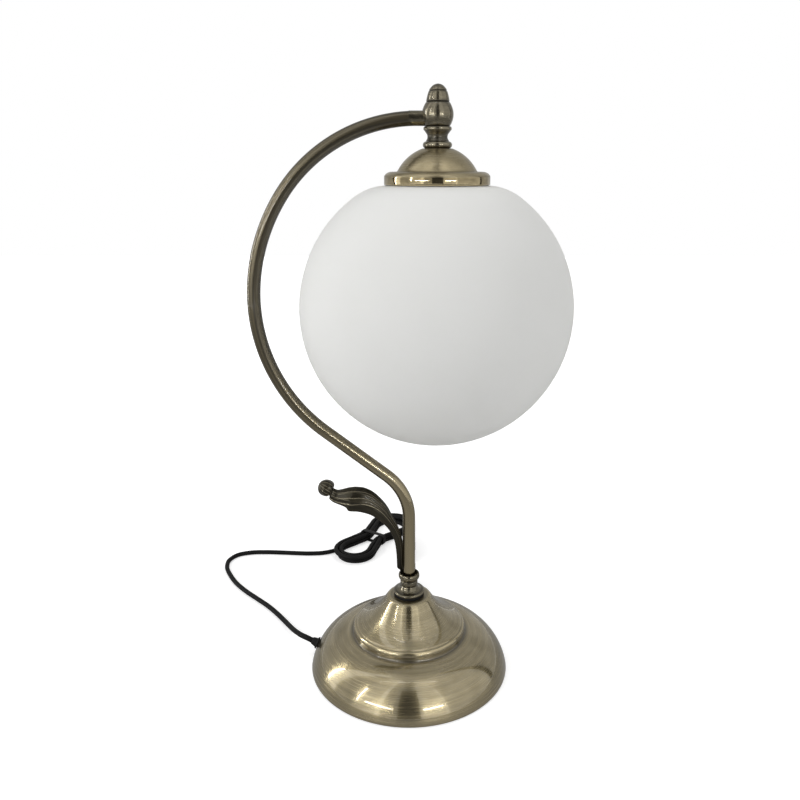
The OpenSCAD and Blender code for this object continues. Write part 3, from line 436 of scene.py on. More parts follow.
def makeVeinGroup():
    # thin raised veins and flutes that start together in the stem and spread towards the leaf's margin
    group, takes, gives = newGroup("leafVeins", [("Place", "NodeSocketVector", None)],
                                   [("Vein", "NodeSocketFloat"), ("Height", "NodeSocketFloat")])
    part = addNode(group, "ShaderNodeSeparateXYZ", {0: takes.outputs["Place"]})
    across = mathStep(group, "ABSOLUTE", part.outputs[0])
    opening = mathStep(group, "MULTIPLY", part.outputs[2], veinMix["opening"])
    spread = mathStep(group, "ADD", opening, veinMix["stemWidth"], clamp=True)
    level = mathStep(group, "DIVIDE", across, spread)
    vein = None
    for centre, width in veinLines:
        away = mathStep(group, "ABSOLUTE", mathStep(group, "SUBTRACT", level, centre))
        line = mathStep(group, "SUBTRACT", 1.0, mathStep(group, "DIVIDE", away, width), clamp=True)
        vein = line if vein is None else mathStep(group, "MAXIMUM", vein, line)
    wave = mathStep(group, "SINE", mathStep(group, "MULTIPLY", level, veinMix["fluteTurns"]))
    flute = mathStep(group, "MULTIPLY", wave, veinMix["fluteHeight"])
    height = mathStep(group, "ADD", vein, flute)
    setInputs(group, gives, {"Vein": vein, "Height": height})
    return group


brushMarks = makeBrushGroup()
agedMetal = makeAgeGroup()
grain = makeSpeckGroup()
leafVeins = makeVeinGroup()


# materials
def newMaterial(name):
    material = bpy.data.materials.new(name)
    material.use_nodes = True
    tree = material.node_tree
    shader = tree.nodes["Principled BSDF"]
    return material, tree, shader


def objectPlace(tree):
    return addNode(tree, "ShaderNodeTexCoord").outputs["Object"]


def ownMark(tree, name, output):
    return addNode(tree, "ShaderNodeAttribute", attribute_name=name).outputs[output]


def addBump(tree, shader, height, strength, distance):
    bump = addNode(tree, "ShaderNodeBump", {"Height": height, "Strength": strength, "Distance": distance})
    tree.links.new(bump.outputs[0], shader.inputs["Normal"])


bumpDepth = {"brushed": 0.0001, "cast": 0.0004}


def makeBrass(name, look):
    material, tree, shader = newMaterial(name)
    place = ownMark(tree, "grainPlace", "Vector")
    marks = placeGroup(tree, brushMarks, Place=place, Around=look["around"], Along=look["along"])
    aged = placeGroup(tree, agedMetal, Light=look["light"], Dark=look["dark"], Tarnish=look["tarnish"],
                      Streak=marks.outputs["Streak"], Band=marks.outputs["Band"],
                      Recess=ownMark(tree, "recess", "Fac"), Worn=ownMark(tree, "worn", "Fac"),
                      Place=objectPlace(tree), Rough=look["rough"])
    colour, height, depth = aged.outputs["Colour"], aged.outputs["Height"], bumpDepth["brushed"]
    if "vein" in look:
        veins = placeGroup(tree, leafVeins, Place=place)
        colour = mixColour(tree, veins.outputs["Vein"], colour, look["vein"])
        height, depth = veins.outputs["Height"], bumpDepth["cast"]
    addBump(tree, shader, height, look["bump"], depth)
    setInputs(tree, shader, {
        "Base Color": colour, "Roughness": aged.outputs["Roughness"], "Metallic": 1.0,
        "Coat Weight": look["coat"], "Coat Roughness": 0.04, "Coat IOR": look.get("lacquer", 1.5),
        "Anisotropic": look["sweep"], "Anisotropic Rotation": 0.25})
    return material


def makeGrained(name, look):
    material, tree, shader = newMaterial(name)
    specks = placeGroup(tree, grain, Place=objectPlace(tree), Fine=look["fine"], Coarse=look["coarse"])
    cloud = specks.outputs["Cloud"]
    addBump(tree, shader, specks.outputs["Grain"], look["bump"], look["depth"])
    setInputs(tree, shader, {
        "Base Color": mixColour(tree, cloud, look["dark"], look["light"]),
        "Roughness": mathStep(tree, "ADD", mathStep(tree, "MULTIPLY", cloud, 0.16), look["rough"]),
        "Metallic": look.get("metal", 0.0), "Specular IOR Level": look.get("shine", 0.5)})
    return material


brassLook = {
    "spun": {"light": (0.50, 0.42, 0.25, 1), "dark": (0.23, 0.19, 0.102, 1),
             "tarnish": (0.016, 0.014, 0.010, 1), "around": 1.5, "along": 1300.0, "rough": 0.24,
             "bump": 0.08, "coat": 1.0, "lacquer": 1.8, "sweep": 0.75},
    "cap": {"light": (0.46, 0.39, 0.25, 1), "dark": (0.33, 0.28, 0.172, 1),
            "tarnish": (0.03, 0.026, 0.016, 1), "around": 1.5, "along": 1500.0, "rough": 0.30,
            "bump": 0.03, "coat": 0.35, "sweep": 0.6},
    "turned": {"light": (0.27, 0.238, 0.167, 1), "dark": (0.065, 0.058, 0.041, 1),
               "tarnish": (0.008, 0.008, 0.007, 1), "around": 1.5, "along": 1700.0, "rough": 0.22,
               "bump": 0.03, "coat": 0.7, "sweep": 0.5},
    "tube": {"light": (0.36, 0.305, 0.195, 1), "dark": (0.050, 0.042, 0.028, 1),
             "tarnish": (0.010, 0.009, 0.006, 1), "around": 1.3, "along": 2.6, "rough": 0.19,
             "bump": 0.004, "coat": 0.8, "sweep": 0.0},
    "rim": {"light": (0.53, 0.44, 0.265, 1), "dark": (0.35, 0.285, 0.165, 1),
            "tarnish": (0.05, 0.04, 0.02, 1), "around": 1.5, "along": 1700.0, "rough": 0.05,
            "bump": 0.02, "coat": 0.5, "sweep": 0.0},
    "leaf": {"light": (0.085, 0.075, 0.051, 1), "dark": (0.018, 0.016, 0.012, 1),
             "tarnish": (0.006, 0.006, 0.005, 1), "around": 9.0, "along": 30.0, "rough": 0.30,
             "bump": 0.4, "coat": 0.4, "sweep": 0.0, "vein": (0.36, 0.32, 0.23, 1)},
}
grainLook = {
    "cordRubber": {"light": (0.012, 0.012, 0.012, 1), "dark": (0.006, 0.006, 0.006, 1), "fine": 700.0,
                   "coarse": 40.0, "rough": 0.36, "bump": 0.12, "depth": 0.0001, "shine": 0.10},
    "blackPlastic": {"light": (0.022, 0.022, 0.023, 1), "dark": (0.012, 0.012, 0.012, 1), "fine": 2200.0,
                     "coarse": 50.0, "rough": 0.34, "bump": 0.20, "depth": 0.0001, "shine": 0.16},
    "blackRubber": {"light": (0.016, 0.016, 0.016, 1), "dark": (0.007, 0.007, 0.007, 1), "fine": 1500.0,
                    "coarse": 120.0, "rough": 0.46, "bump": 0.25, "depth": 0.0001, "shine": 0.12},
    "felt": {"light": (0.030, 0.031, 0.030, 1), "dark": (0.010, 0.010, 0.011, 1), "fine": 1600.0,
             "coarse": 220.0, "rough": 0.84, "bump": 0.9, "depth": 0.0004},
    "castIron": {"light": (0.16, 0.155, 0.15, 1), "dark": (0.055, 0.05, 0.048, 1), "fine": 600.0,
                 "coarse": 90.0, "rough": 0.55, "bump": 0.5, "depth": 0.0004, "metal": 1.0},
    "steel": {"light": (0.66, 0.67, 0.68, 1), "dark": (0.46, 0.47, 0.48, 1), "fine": 900.0,
              "coarse": 70.0, "rough": 0.24, "bump": 0.10, "depth": 0.0001, "metal": 1.0},
    "plainBrass": {"light": (0.78, 0.62, 0.33, 1), "dark": (0.60, 0.46, 0.22, 1), "fine": 900.0,
                   "coarse": 80.0, "rough": 0.22, "bump": 0.08, "depth": 0.0001, "metal": 1.0},
    "creamPlastic": {"light": (0.80, 0.76, 0.66, 1), "dark": (0.72, 0.67, 0.56, 1), "fine": 1800.0,
                     "coarse": 60.0, "rough": 0.32, "bump": 0.12, "depth": 0.0001},
}
finish = {name: makeBrass(name + "Brass", look) for name, look in brassLook.items()}
finish.update({name: makeGrained(name, look) for name, look in grainLook.items()})


def makeOpal():
    # hand-blown opal glass, acid etched: matt white with faint clouds
    material, tree, shader = newMaterial("opalGlass")
    specks = placeGroup(tree, grain, Place=objectPlace(tree), Fine=1400.0, Coarse=14.0)
    speck = specks.outputs["Grain"]
    addBump(tree, shader, speck, 0.06, bumpDepth["brushed"])
    setInputs(tree, shader, {
        "Base Color": mixColour(tree, specks.outputs["Cloud"], (0.80, 0.803, 0.770, 1),
                                (0.85, 0.853, 0.824, 1)),
        "Roughness": mathStep(tree, "ADD", mathStep(tree, "MULTIPLY", speck, 0.12), 0.52),
        "Subsurface Weight": 0.35, "Subsurface Radius": (0.012, 0.012, 0.011),
        "Subsurface Scale": 1.0, "Specular IOR Level": 0.25})
    return material


def makeBulbGlass():
    material, tree, shader = newMaterial("bulbGlass")
    specks = placeGroup(tree, grain, Place=objectPlace(tree), Fine=900.0, Coarse=30.0)
    cloud = specks.outputs["Cloud"]
    setInputs(tree, shader, {
        "Base Color": mixColour(tree, cloud, (0.90, 0.90, 0.88, 1), (0.95, 0.95, 0.93, 1)),
        "Roughness": mathStep(tree, "ADD", mathStep(tree, "MULTIPLY", cloud, 0.08), 0.14),
        "Subsurface Weight": 0.2, "Subsurface Radius": (0.006, 0.006, 0.006)})
    return material


finish["opalGlass"] = makeOpal()
finish["bulbGlass"] = makeBulbGlass()
print("materials made,", len(finish))


def dress(piece, name, body="lamp", replacing=()):
    piece.data.materials.clear()
    piece.data.materials.append(finish[name])
    if body:
        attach(piece, body)
    if replacing:
        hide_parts(*replacing)


for cord in (mainCord, shortCord):
    cord.data.materials.append(finish["cordRubber"])


# turned pieces
def drawOutline(name, outline, axisX):
    deselectAll()
    bpy.ops.mesh.primitive_plane_add(size=0.002, location=(0, 0, 0))
    piece = bpy.context.object
    piece.name = name
    piece.data.name = name
    openMesh()
    bpy.ops.mesh.select_mode(type="VERT")
    bpy.ops.mesh.merge(type="CENTER")
    bpy.ops.transform.translate(value=((axisX + outline[0][0]) * mm, 0, outline[0][1] * mm))
    for before, after in zip(outline, outline[1:]):
        step = ((after[0] - before[0]) * mm, 0, (after[1] - before[1]) * mm)
        bpy.ops.mesh.extrude_vertices_move(TRANSFORM_OT_translate={"value": step})
    return piece


def spinOutline(piece, axisX, steps):
    bpy.ops.mesh.select_all(action="SELECT")
    bpy.ops.mesh.spin(steps=steps, angle=math.tau, center=(axisX * mm, 0, 0), axis=(0, 0, 1))
    bpy.ops.mesh.select_all(action="SELECT")
    bpy.ops.mesh.remove_doubles(threshold=2e-6)
    closeFacingOut()
    # the widest face of the skin looks away from the axis
    widest = max(piece.data.polygons, key=lambda f: math.hypot(f.center.x - axisX * mm, f.center.y))
    if widest.normal.x * (widest.center.x - axisX * mm) + widest.normal.y * widest.center.y < 0:
        openMesh()
        bpy.ops.mesh.flip_normals()
        bpy.ops.object.mode_set(mode="OBJECT")


def spunPiece(name, outline, axisX=0.0, steps=96, wall=0.0, soften=0.0):
    piece = drawOutline(name, outline, axisX)
    spinOutline(piece, axisX, steps)
    if wall:
        applyModifier(piece, "SOLIDIFY", thickness=wall * mm, offset=-1, use_even_offset=True)
    if soften:
        applyModifier(piece, "BEVEL", width=soften * mm, segments=2, limit_method="ANGLE",
                      angle_limit=math.radians(28), harden_normals=False)
    return piece


def markTurned(piece, axisX, grooves, ridges):
    # grainPlace tells the brushed finishes where they are on the piece; the grooves mark tarnish and painted
    # shade in creases and where parts meet, the ridges mark rubbed places and painted highlights
    co = corners(piece) / mm
    x, y, z = co[:, 0] - axisX, co[:, 1], co[:, 2]
    r = np.maximum(np.hypot(x, y), 1e-4)
    setGrainPlace(piece, x / r, y / r, (z - r) * mm)
    for name, spots in (("recess", grooves), ("worn", ridges)):
        amount = np.zeros(len(co))
        for spotR, spotZ, width, strength in spots:
            away = np.hypot(r - spotR, z - spotZ) / width
            amount = np.maximum(amount, strength * np.clip(1 - away, 0, 1) ** 1.3)
        setMark(piece, name, amount)


def finishTurned(piece, look, axisX, grooves, ridges, replacing, body="lamp", angle=35):
    markTurned(piece, axisX, grooves, ridges)
    smoothByAngle(piece, angle)
    dress(piece, look, body, replacing)


foot = {
    "rimRadius": 82.4, "domeRadius": 40, "domeDrop": 7, "rimLift": 0.8, "creaseRadius": 47.5,
    "bandHeight": 7.2, "topHeight": 65.6, "shoulder": 17.2, "hollow": 2.3, "wall": 1.0, "hole": 5.2,
    "creaseSteps": [(-0.5, 0.3), (-0.8, 0.9), (-1.0, 1.8), (-0.95, 3.0)],
    "bandSteps": [(-1.0, -3.0), (-1.2, -2.0), (-1.6, -1.1), (-2.1, -0.5), (-2.7, -0.15), (-3.3, 0.05),
                  (-3.7, 0.25)],
    "topSteps": [(1.3, -2.0), (0.8, -1.3), (0, -0.6), (-1.1, -0.15), (-2.2, 0)],
    "cordHole": 3.7, "drillLength": 8,
    # grooves: tarnish and painted shade in the crease, painted shade round the black ring and where the rim
    # meets the table
    "grooves": [(47.3, 33.0, 3.4, 0.95), (46.3, 35.2, 1.6, 0.55), (44.0, 40.1, 1.2, 0.35),
                (14.0, 65.6, 3.2, 0.8), (82.2, 1.0, 1.8, 0.5)],
    "ridges": [(45.3, 39.4, 1.2, 0.8), (43.4, 40.9, 1.2, 0.5), (16.6, 65.3, 1.6, 0.35),
               (50.5, 32.4, 2.6, 0.15)],
}


def makeFoot():
    f = foot
    centre = (f["rimRadius"] - math.sqrt(f["domeRadius"] ** 2 - f["domeDrop"] ** 2), -f["domeDrop"])
    rimAngle = math.degrees(math.asin((f["rimLift"] + f["domeDrop"]) / f["domeRadius"]))
    creaseAngle = math.degrees(math.acos((f["creaseRadius"] - centre[0]) / f["domeRadius"]))
    creaseZ = f["domeRadius"] * math.sin(math.radians(creaseAngle)) - f["domeDrop"]
    c, b, s, t = f["creaseRadius"], creaseZ + f["bandHeight"], f["shoulder"], f["topHeight"]
    outline = (arcPoints(centre, f["domeRadius"], rimAngle, creaseAngle, 30)
               + pointsFrom(c, creaseZ, f["creaseSteps"]) + pointsFrom(c, b, f["bandSteps"])
               + saggedPoints((c - 4, b + 0.6), (s + 1.8, t - 2.7), f["hollow"], 22)
               + pointsFrom(s, t, f["topSteps"]) + [(f["hole"], t)])
    shell = spunPiece("footShell", outline, steps=144, wall=f["wall"], soften=0.12)
    # the cord's way out is cut square to the dome
    deselectAll()
    bpy.ops.mesh.primitive_cylinder_add(vertices=32, radius=f["cordHole"] * mm,
                                        depth=f["drillLength"] * mm, rotation=exitSlant(),
                                        location=[v * mm for v in fromExit(0)])
    combine(shell, bpy.context.object, "DIFFERENCE")
    finishTurned(shell, "spun", 0, f["grooves"], f["ridges"], ("base_shell",), angle=32)


collar = {
    "foot": 68.0, "flange": 12.8, "waist": 7.1, "cup": 8.6, "height": 17.4, "cupDepth": 4.6,
    "bellTop": 6.4, "cupStart": 11.2, "bore": 5.1, "cupWall": 1.2,
    "flangeSteps": [(-0.6, 0), (-0.1, 0.4), (0, 0.9), (-0.1, 1.6), (-0.5, 2.05), (-1.0, 2.25)],
    "waistSteps": [(-1.2, 6.6), (-1.3, 6.9), (-0.6, 7.1), (-0.15, 7.5), (0, 8.1), (0, 9.6),
                   (-0.1, 10.4), (-0.5, 10.9)],
    "cupSteps": [(0, -2.4), (-0.1, -1.4), (-0.35, -0.6), (-0.75, -0.12)],
    # grooves: tarnish and painted shade in the collar's grooves and under its flange
    "grooves": [(10.9, 70.6, 1.3, 0.8), (6.2, 74.9, 1.3, 1.0), (6.3, 79.4, 1.5, 1.0),
                (6.6, 85.2, 1.5, 0.95), (12.7, 68.2, 0.9, 0.5)],
    "ridges": [(12.7, 69.4, 1.0, 0.6), (7.1, 76.8, 1.3, 0.45), (8.6, 82.8, 1.6, 0.5),
               (8.8, 72.6, 1.6, 0.25)],
}
blackRing = {"bore": 5.2, "radius": 12.4, "foot": 65.6, "top": 68.0,
             "lowEdge": [(-0.4, 0), (-0.1, 0.15), (0, 0.5)],
             "highEdge": [(0, -0.5), (-0.1, -0.15), (-0.4, 0)]}


def makeCollar():
    c = collar
    z, start, top = c["foot"], c["foot"] + c["cupStart"], c["foot"] + c["height"]
    inside = c["cup"] - c["cupWall"]
    outline = ([(c["bore"], z)] + pointsFrom(c["flange"], z, c["flangeSteps"])
               + saggedPoints((c["flange"] - 1.4, z + 2.4), (c["waist"] - 0.6, z + c["bellTop"]), 0.9, 10)
               + pointsFrom(c["waist"], z, c["waistSteps"]) + [(c["waist"] - 1.1, start)]
               + saggedPoints((c["waist"] - 0.7, start + 0.4), (c["cup"], start + 3.0), -0.45, 8)
               + pointsFrom(c["cup"], top, c["cupSteps"])
               + [(inside, top), (inside, top - c["cupDepth"]), (c["bore"], top - c["cupDepth"]),
                  (c["bore"], z)])
    piece = spunPiece("collarTurned", outline, steps=96, soften=0.1)
    finishTurned(piece, "turned", 0, c["grooves"], c["ridges"], ("collar",), angle=32)
    b = blackRing
    outline = ([(b["bore"], b["foot"])] + pointsFrom(b["radius"], b["foot"], b["lowEdge"])
               + pointsFrom(b["radius"], b["top"], b["highEdge"])
               + [(b["bore"], b["top"]), (b["bore"], b["foot"])])
    piece = spunPiece("blackRing", outline, steps=72, soften=0.08)
    finishTurned(piece, "blackRubber", 0, [], [], ("black_washer",))


cap = {
    "rim": 37.3, "bandFoot": 392.3, "bandTop": 397.9, "top": 416.5, "domeRadius": 31.6, "seat": 10.5,
    "wall": 1.0, "hole": 5.2, "domeInset": 9.7, "domeStart": 1.2, "goldDepth": 0.35, "goldRise": 0.2,
    "bandSteps": [(0, -0.1), (-0.25, 0.5), (-0.6, 1.0), (-1.3, 1.75), (-2.1, 2.3), (-3.1, 2.8),
                  (-4.3, 3.1), (-6.3, 3.2), (-8.3, 3.25), (-8.9, 3.3), (-9.35, 3.6)],
    "grooves": [(28.6, 401.4, 1.0, 0.7), (37.3, 398.0, 0.7, 0.4), (10.6, 416.4, 2.6, 0.8),
                (33.0, 401.1, 1.2, 0.2)],
    "ridges": [(36.0, 399.8, 1.4, 0.35), (26.5, 404.6, 3.0, 0.2)],
}


def makeCap():
    c = cap
    radius = c["domeRadius"]
    domeZ = c["top"] - math.sqrt(radius ** 2 - c["seat"] ** 2)
    fromAngle = math.degrees(math.acos((c["rim"] - c["domeInset"]) / radius)) + c["domeStart"]
    toAngle = math.degrees(math.acos(c["seat"] / radius))
    outline = ([(c["rim"], c["bandFoot"])] + pointsFrom(c["rim"], c["bandTop"], c["bandSteps"])
               + arcPoints((0, domeZ), radius, fromAngle, toAngle, 22) + [(c["hole"], c["top"])])
    piece = spunPiece("capSpun", outline, headX, 128, wall=c["wall"], soften=0.12)
    finishTurned(piece, "cap", headX, c["grooves"], c["ridges"], ("shade_cap",), angle=30)
    piece.data.materials.append(finish["rim"])
    for face in piece.data.polygons:
        away = math.hypot(face.center.x - headX * mm, face.center.y) / mm
        if away > c["rim"] - c["goldDepth"] and face.center.z / mm < c["bandTop"] + c["goldRise"]:
            face.material_index = 1


knob = {
    "ballFoot": 431.0, "ballHeight": 15.9, "ballRadius": 10.9, "ease": 10.6, "widest": 0.48, "rings": 20,
    "bore": 3.0, "bossRadius": 6.6, "bossReach": 13, "bossStart": 5.5, "bossEdge": 0.9,
    "armHeight": 436.3, "armHole": 5.05, "armHoleLength": 14,
    "grooves": [(8.5, 431.0, 1.6, 0.95), (8.0, 446.9, 1.4, 0.95)],
    "ridges": [(10.9, 438.8, 2.4, 0.25)],
}
# the tip's outline: inset from its radius, and share of its height
knobTip = {
    "height": 11.6, "radius": 8.1, "edge": [(-0.6, 0), (-0.15, 0.2), (0, 0.6)],
    "outline": [(0.1, 0.06), (0.25, 0.12), (0.4, 0.19), (0.6, 0.27), (0.85, 0.35), (1.1, 0.43),
                (1.4, 0.51), (1.65, 0.565), (2.1, 0.595), (2.25, 0.61), (2.0, 0.635), (2.3, 0.69),
                (2.75, 0.745), (3.35, 0.805), (4.1, 0.87), (5.1, 0.93), (6.2, 0.97), (7.2, 0.99)],
    "grooves": [(8.0, 447.0, 1.2, 0.9), (5.9, 453.9, 1.4, 0.95), (2.0, 458.4, 4.0, 0.75)],
    "ridges": [(7.5, 449.8, 1.6, 0.3), (5.7, 455.0, 1.1, 0.25)],
}


def towardsArm(radius, length, middle):
    bpy.ops.mesh.primitive_cylinder_add(vertices=64, radius=radius * mm, depth=length * mm,
                                        location=((headX - middle) * mm, 0, knob["armHeight"] * mm),
                                        rotation=(0, -math.pi / 2, 0))
    return bpy.context.object


def makeKnob():
    k = knob
    z, h, n = k["ballFoot"], k["ballHeight"], k["rings"]
    side = [(k["ballRadius"] - k["ease"] * (i / n - k["widest"]) ** 2, z + h * i / n) for i in range(n + 1)]
    low, high = side[0][0], side[-1][0]
    outline = ([(k["bore"], z), (low - 0.5, z), (low - 0.1, z + 0.15)] + side[1:-1]
               + [(high - 0.1, z + h - 0.15), (high - 0.5, z + h), (k["bore"], z + h), (k["bore"], z)])
    ball = spunPiece("headBall", outline, headX, 96)
    deselectAll()
    reach = k["bossReach"] - k["bossStart"]
    boss = towardsArm(k["bossRadius"], reach, k["bossStart"] + reach / 2)
    openMesh()
    bpy.ops.mesh.bevel(offset=k["bossEdge"] * mm, segments=4, affect="EDGES")
    bpy.ops.object.mode_set(mode="OBJECT")
    combine(ball, boss, "UNION")
    combine(ball, towardsArm(k["armHole"], k["armHoleLength"], k["bossReach"]), "DIFFERENCE")
    finishTurned(ball, "turned", headX, k["grooves"], k["ridges"], ("knuckle",), angle=30)
    makeTip(z + h)


def makeTip(foot):
    t, r, h = knobTip, knobTip["radius"], knobTip["height"]
    outline = ([(0.0, foot)] + pointsFrom(r, foot, t["edge"])
               + [(r - inset, foot + share * h) for inset, share in t["outline"]] + [(0.0, foot + h)])
    piece = spunPiece("finialTurned", outline, headX, 80)
    finishTurned(piece, "turned", headX, t["grooves"], t["ridges"], ("finial",), angle=38)


neck = {
    "foot": 421.2, "height": 9.8, "radius": 7.0, "bore": 5.1,
    "lowSteps": [(0.9, 0), (1.0, 0.4), (0.75, 0.85), (0.4, 1.3), (0.15, 1.9), (0, 2.5), (0, 3.1),
                 (0.1, 3.8), (0.3, 4.5), (0.7, 5.1)],
    "highSteps": [(1.15, -4.1), (1.55, -3.5), (1.9, -3.1), (2.0, -2.85), (2.45, -2.6), (2.75, -2.1),
                  (2.8, -1.5), (2.75, -0.9), (2.45, -0.35), (2.0, 0)],
    "grooves": [(7.3, 423.6, 4.6, 0.95), (8.2, 427.4, 1.6, 0.75), (9.5, 431.0, 1.0, 0.9),
                (8.0, 421.3, 1.4, 1.0)],
    "ridges": [(9.8, 429.4, 1.1, 0.55)],
}
neckRing = {
    "foot": 416.5, "height": 4.7, "radius": 10.2, "bore": 5.1,
    "grooves": [(8.0, 421.1, 1.6, 1.0), (8.2, 416.6, 1.8, 1.0)], "ridges": [(10.1, 419.2, 1.8, 0.4)],
}


def makeNeck():
    n = neck
    z, r, top = n["foot"], n["radius"], n["foot"] + n["height"]
    outline = ([(n["bore"], z)] + pointsFrom(r, z, n["lowSteps"]) + pointsFrom(r, top, n["highSteps"])
               + [(n["bore"], top), (n["bore"], z)])
    piece = spunPiece("neckTurned", outline, headX, 80)
    finishTurned(piece, "turned", headX, n["grooves"], n["ridges"], ("neck",), angle=38)
    n = neckRing
    z, half = n["foot"], n["height"] / 2
    outline = ([(n["bore"], z)] + arcPoints((n["radius"] - half, z + half), half, -90, 90, 16)
               + [(n["bore"], z + n["height"]), (n["bore"], z)])
    piece = spunPiece("neckRing", outline, headX, 80)
    finishTurned(piece, "turned", headX, n["grooves"], n["ridges"], ("neck_ring",), angle=38)


makeFoot()
makeCollar()
print("foot and collar turned")
makeCap()
makeKnob()
makeNeck()
print("head turned")

# globe
opalGlobe = {
    "centre": 303.081, "radius": 100, "wall": 2.6, "neckRadius": 32.6, "crownRise": 88.4,
    "blendAngle": 54.5, "blendPull": 0.48, "blendSag": 0.4, "blendRings": 14, "neckTop": 397.3,
    "crownReach": 5.9,
    "crownSteps": [(4.6, 0.2), (3.4, 0.6), (2.2, 1.05), (1.2, 1.6), (0.6, 2.2), (0.2, 2.9), (0, 4)],
    "lugs": 3, "lugIn": 0.6, "lugOut": 2.0, "lugHeight": 2.1, "lugWidth": 25,
}


def curveBetween(first, middle, last, count):
    # the quadratic curve that leaves first towards middle, without first itself
    return [tuple((1 - t) ** 2 * p + 2 * t * (1 - t) * q + t * t * s for p, q, s in zip(first, middle, last))
            for t in (i / count for i in range(1, count + 1))]


def makeGlobe():
    g = opalGlobe
    a = math.radians(g["blendAngle"])
    first = (g["radius"] * math.cos(a), g["radius"] * math.sin(a))
    last = (g["neckRadius"] + g["crownReach"], g["crownRise"])
    middle = (last[0] + g["blendPull"] * (first[0] - last[0]), g["crownRise"] - g["blendSag"])
    outline = (arcPoints((0, 0), g["radius"], -90, g["blendAngle"], 72)
               + curveBetween(first, middle, last, g["blendRings"])
               + pointsFrom(g["neckRadius"], g["crownRise"], g["crownSteps"])
               + [(g["neckRadius"], g["neckTop"] - g["centre"])])
    outline = [(max(r, 0.0), z + g["centre"]) for r, z in outline]
    globe = spunPiece("opalGlobe", outline, headX, 160, wall=g["wall"], soften=0.3)
    for i in range(g["lugs"]):
        lug = makeLug(360 * i / g["lugs"])
        pickOnly(globe)
        lug.select_set(True)
        bpy.ops.object.join()
    smoothByAngle(globe, 40)
    dress(globe, "opalGlass", "globe", ("globe",))


def makeLug(turn):
    g = opalGlobe
    inner, outer = g["neckRadius"] - g["lugIn"], g["neckRadius"] + g["lugOut"]
    top = g["neckTop"]
    deselectAll()
    bpy.ops.mesh.primitive_plane_add(size=1, location=(0, 0, 0))
    lug = bpy.context.object
    lug.name = "globeLug"
    square = [(inner, top - g["lugHeight"]), (outer, top - g["lugHeight"]), (outer, top), (inner, top)]
    start = math.radians(turn - g["lugWidth"] / 2)
    ring = list(lug.data.polygons[0].vertices)
    for index, (r, z) in zip(ring, square):
        lug.data.vertices[index].co = ((headX + r * math.cos(start)) * mm, r * math.sin(start) * mm, z * mm)
    openMesh()
    bpy.ops.mesh.spin(steps=10, angle=math.radians(g["lugWidth"]), center=(headX * mm, 0, 0), axis=(0, 0, 1))
    closeFacingOut()
    return lug


makeGlobe()
print("globe blown")

# arm: straight runs are extruded and bends are spun, one after another
arm = {"radius": 5, "wall": 1, "foot": 76.3, "stemTop": 135, "run": 60, "endX": 13.7258,
       "runSteps": 12, "bendPerStep": 80,
       "bends": [{"radius": 46, "turn": 52, "left": True}, {"radius": 128, "turn": 60, "left": False},
                 {"radius": 138, "turn": 27, "left": False}, {"radius": 116, "turn": 55, "left": False}]}
# painted shade and painted highlight along the tube's line: darker at the cup, at the end, and up the arm,
# lighter on the stem
armAge = {"cupAt": 13.6, "cupWidth": 2.6, "cupDark": 0.9, "endLength": 9.5, "endWidth": 3.0,
          "endDark": 0.8, "upperFrom": 150, "upperOver": 90, "upperDark": 0.62, "innerDark": 0.3,
          "wornStem": 0.85, "wornFrom": 1.3, "wornOver": 130}


def makeArm():
    # the heading is measured from straight up towards -X
    x, z, heading = 0.0, arm["foot"], 0.0
    moves = [("run", arm["stemTop"] - arm["foot"]), ("bend", arm["bends"][0]), ("run", arm["run"])]
    moves += [("bend", bend) for bend in arm["bends"][1:]]
    deselectAll()
    bpy.ops.mesh.primitive_circle_add(vertices=64, radius=arm["radius"] * mm, fill_type="NOTHING",
                                      location=(x * mm, 0, z * mm))
    tube = bpy.context.object
    tube.name = "armTube"
    keepInMesh(tube)
    line = [(x, z)]
    openMesh()
    bpy.ops.mesh.select_mode(type="EDGE")
    bpy.ops.mesh.select_all(action="SELECT")

    def runOn(length):
        nonlocal x, z
        dx, dz = -math.sin(heading) * length, math.cos(heading) * length
        bpy.ops.mesh.extrude_region_move(TRANSFORM_OT_translate={"value": (dx * mm, 0, dz * mm)})
        for i in range(1, arm["runSteps"] + 1):
            line.append((x + dx * i / arm["runSteps"], z + dz * i / arm["runSteps"]))
        x, z = x + dx, z + dz

    for kind, move in moves:
        if kind == "run":
            runOn(move)
            continue
        sign = 1 if move["left"] else -1
        radius, sign = move["radius"], 1 if move["left"] else -1
        cx, cz = x - sign * radius * math.cos(heading), z - sign * radius * math.sin(heading)
        turn = math.radians(move["turn"])
        steps = round(move["turn"] * radius / arm["bendPerStep"])
        bpy.ops.mesh.spin(steps=steps, angle=turn, center=(cx * mm, 0, cz * mm), axis=(0, sign, 0))
        startAngle = math.atan2(z - cz, x - cx)
        for i in range(1, steps + 1):
            a = startAngle + sign * turn * i / steps
            line.append((cx + radius * math.cos(a), cz + radius * math.sin(a)))
        x, z = line[-1]
        heading += sign * turn
    runOn(arm["endX"] - x)
    closeFacingOut()
    # the skin faces away from its own centreline
    face = tube.data.polygons[0]
    if face.normal.x * face.center.x + face.normal.y * face.center.y < 0:
        openMesh()
        bpy.ops.mesh.flip_normals()
        bpy.ops.object.mode_set(mode="OBJECT")
    applyModifier(tube, "SOLIDIFY", thickness=arm["wall"] * mm, offset=-1, use_even_offset=True, use_rim=True)
    markAlong(tube, line)
    smoothByAngle(tube, 40)
    dress(tube, "tube", replacing=("arm_tube",))


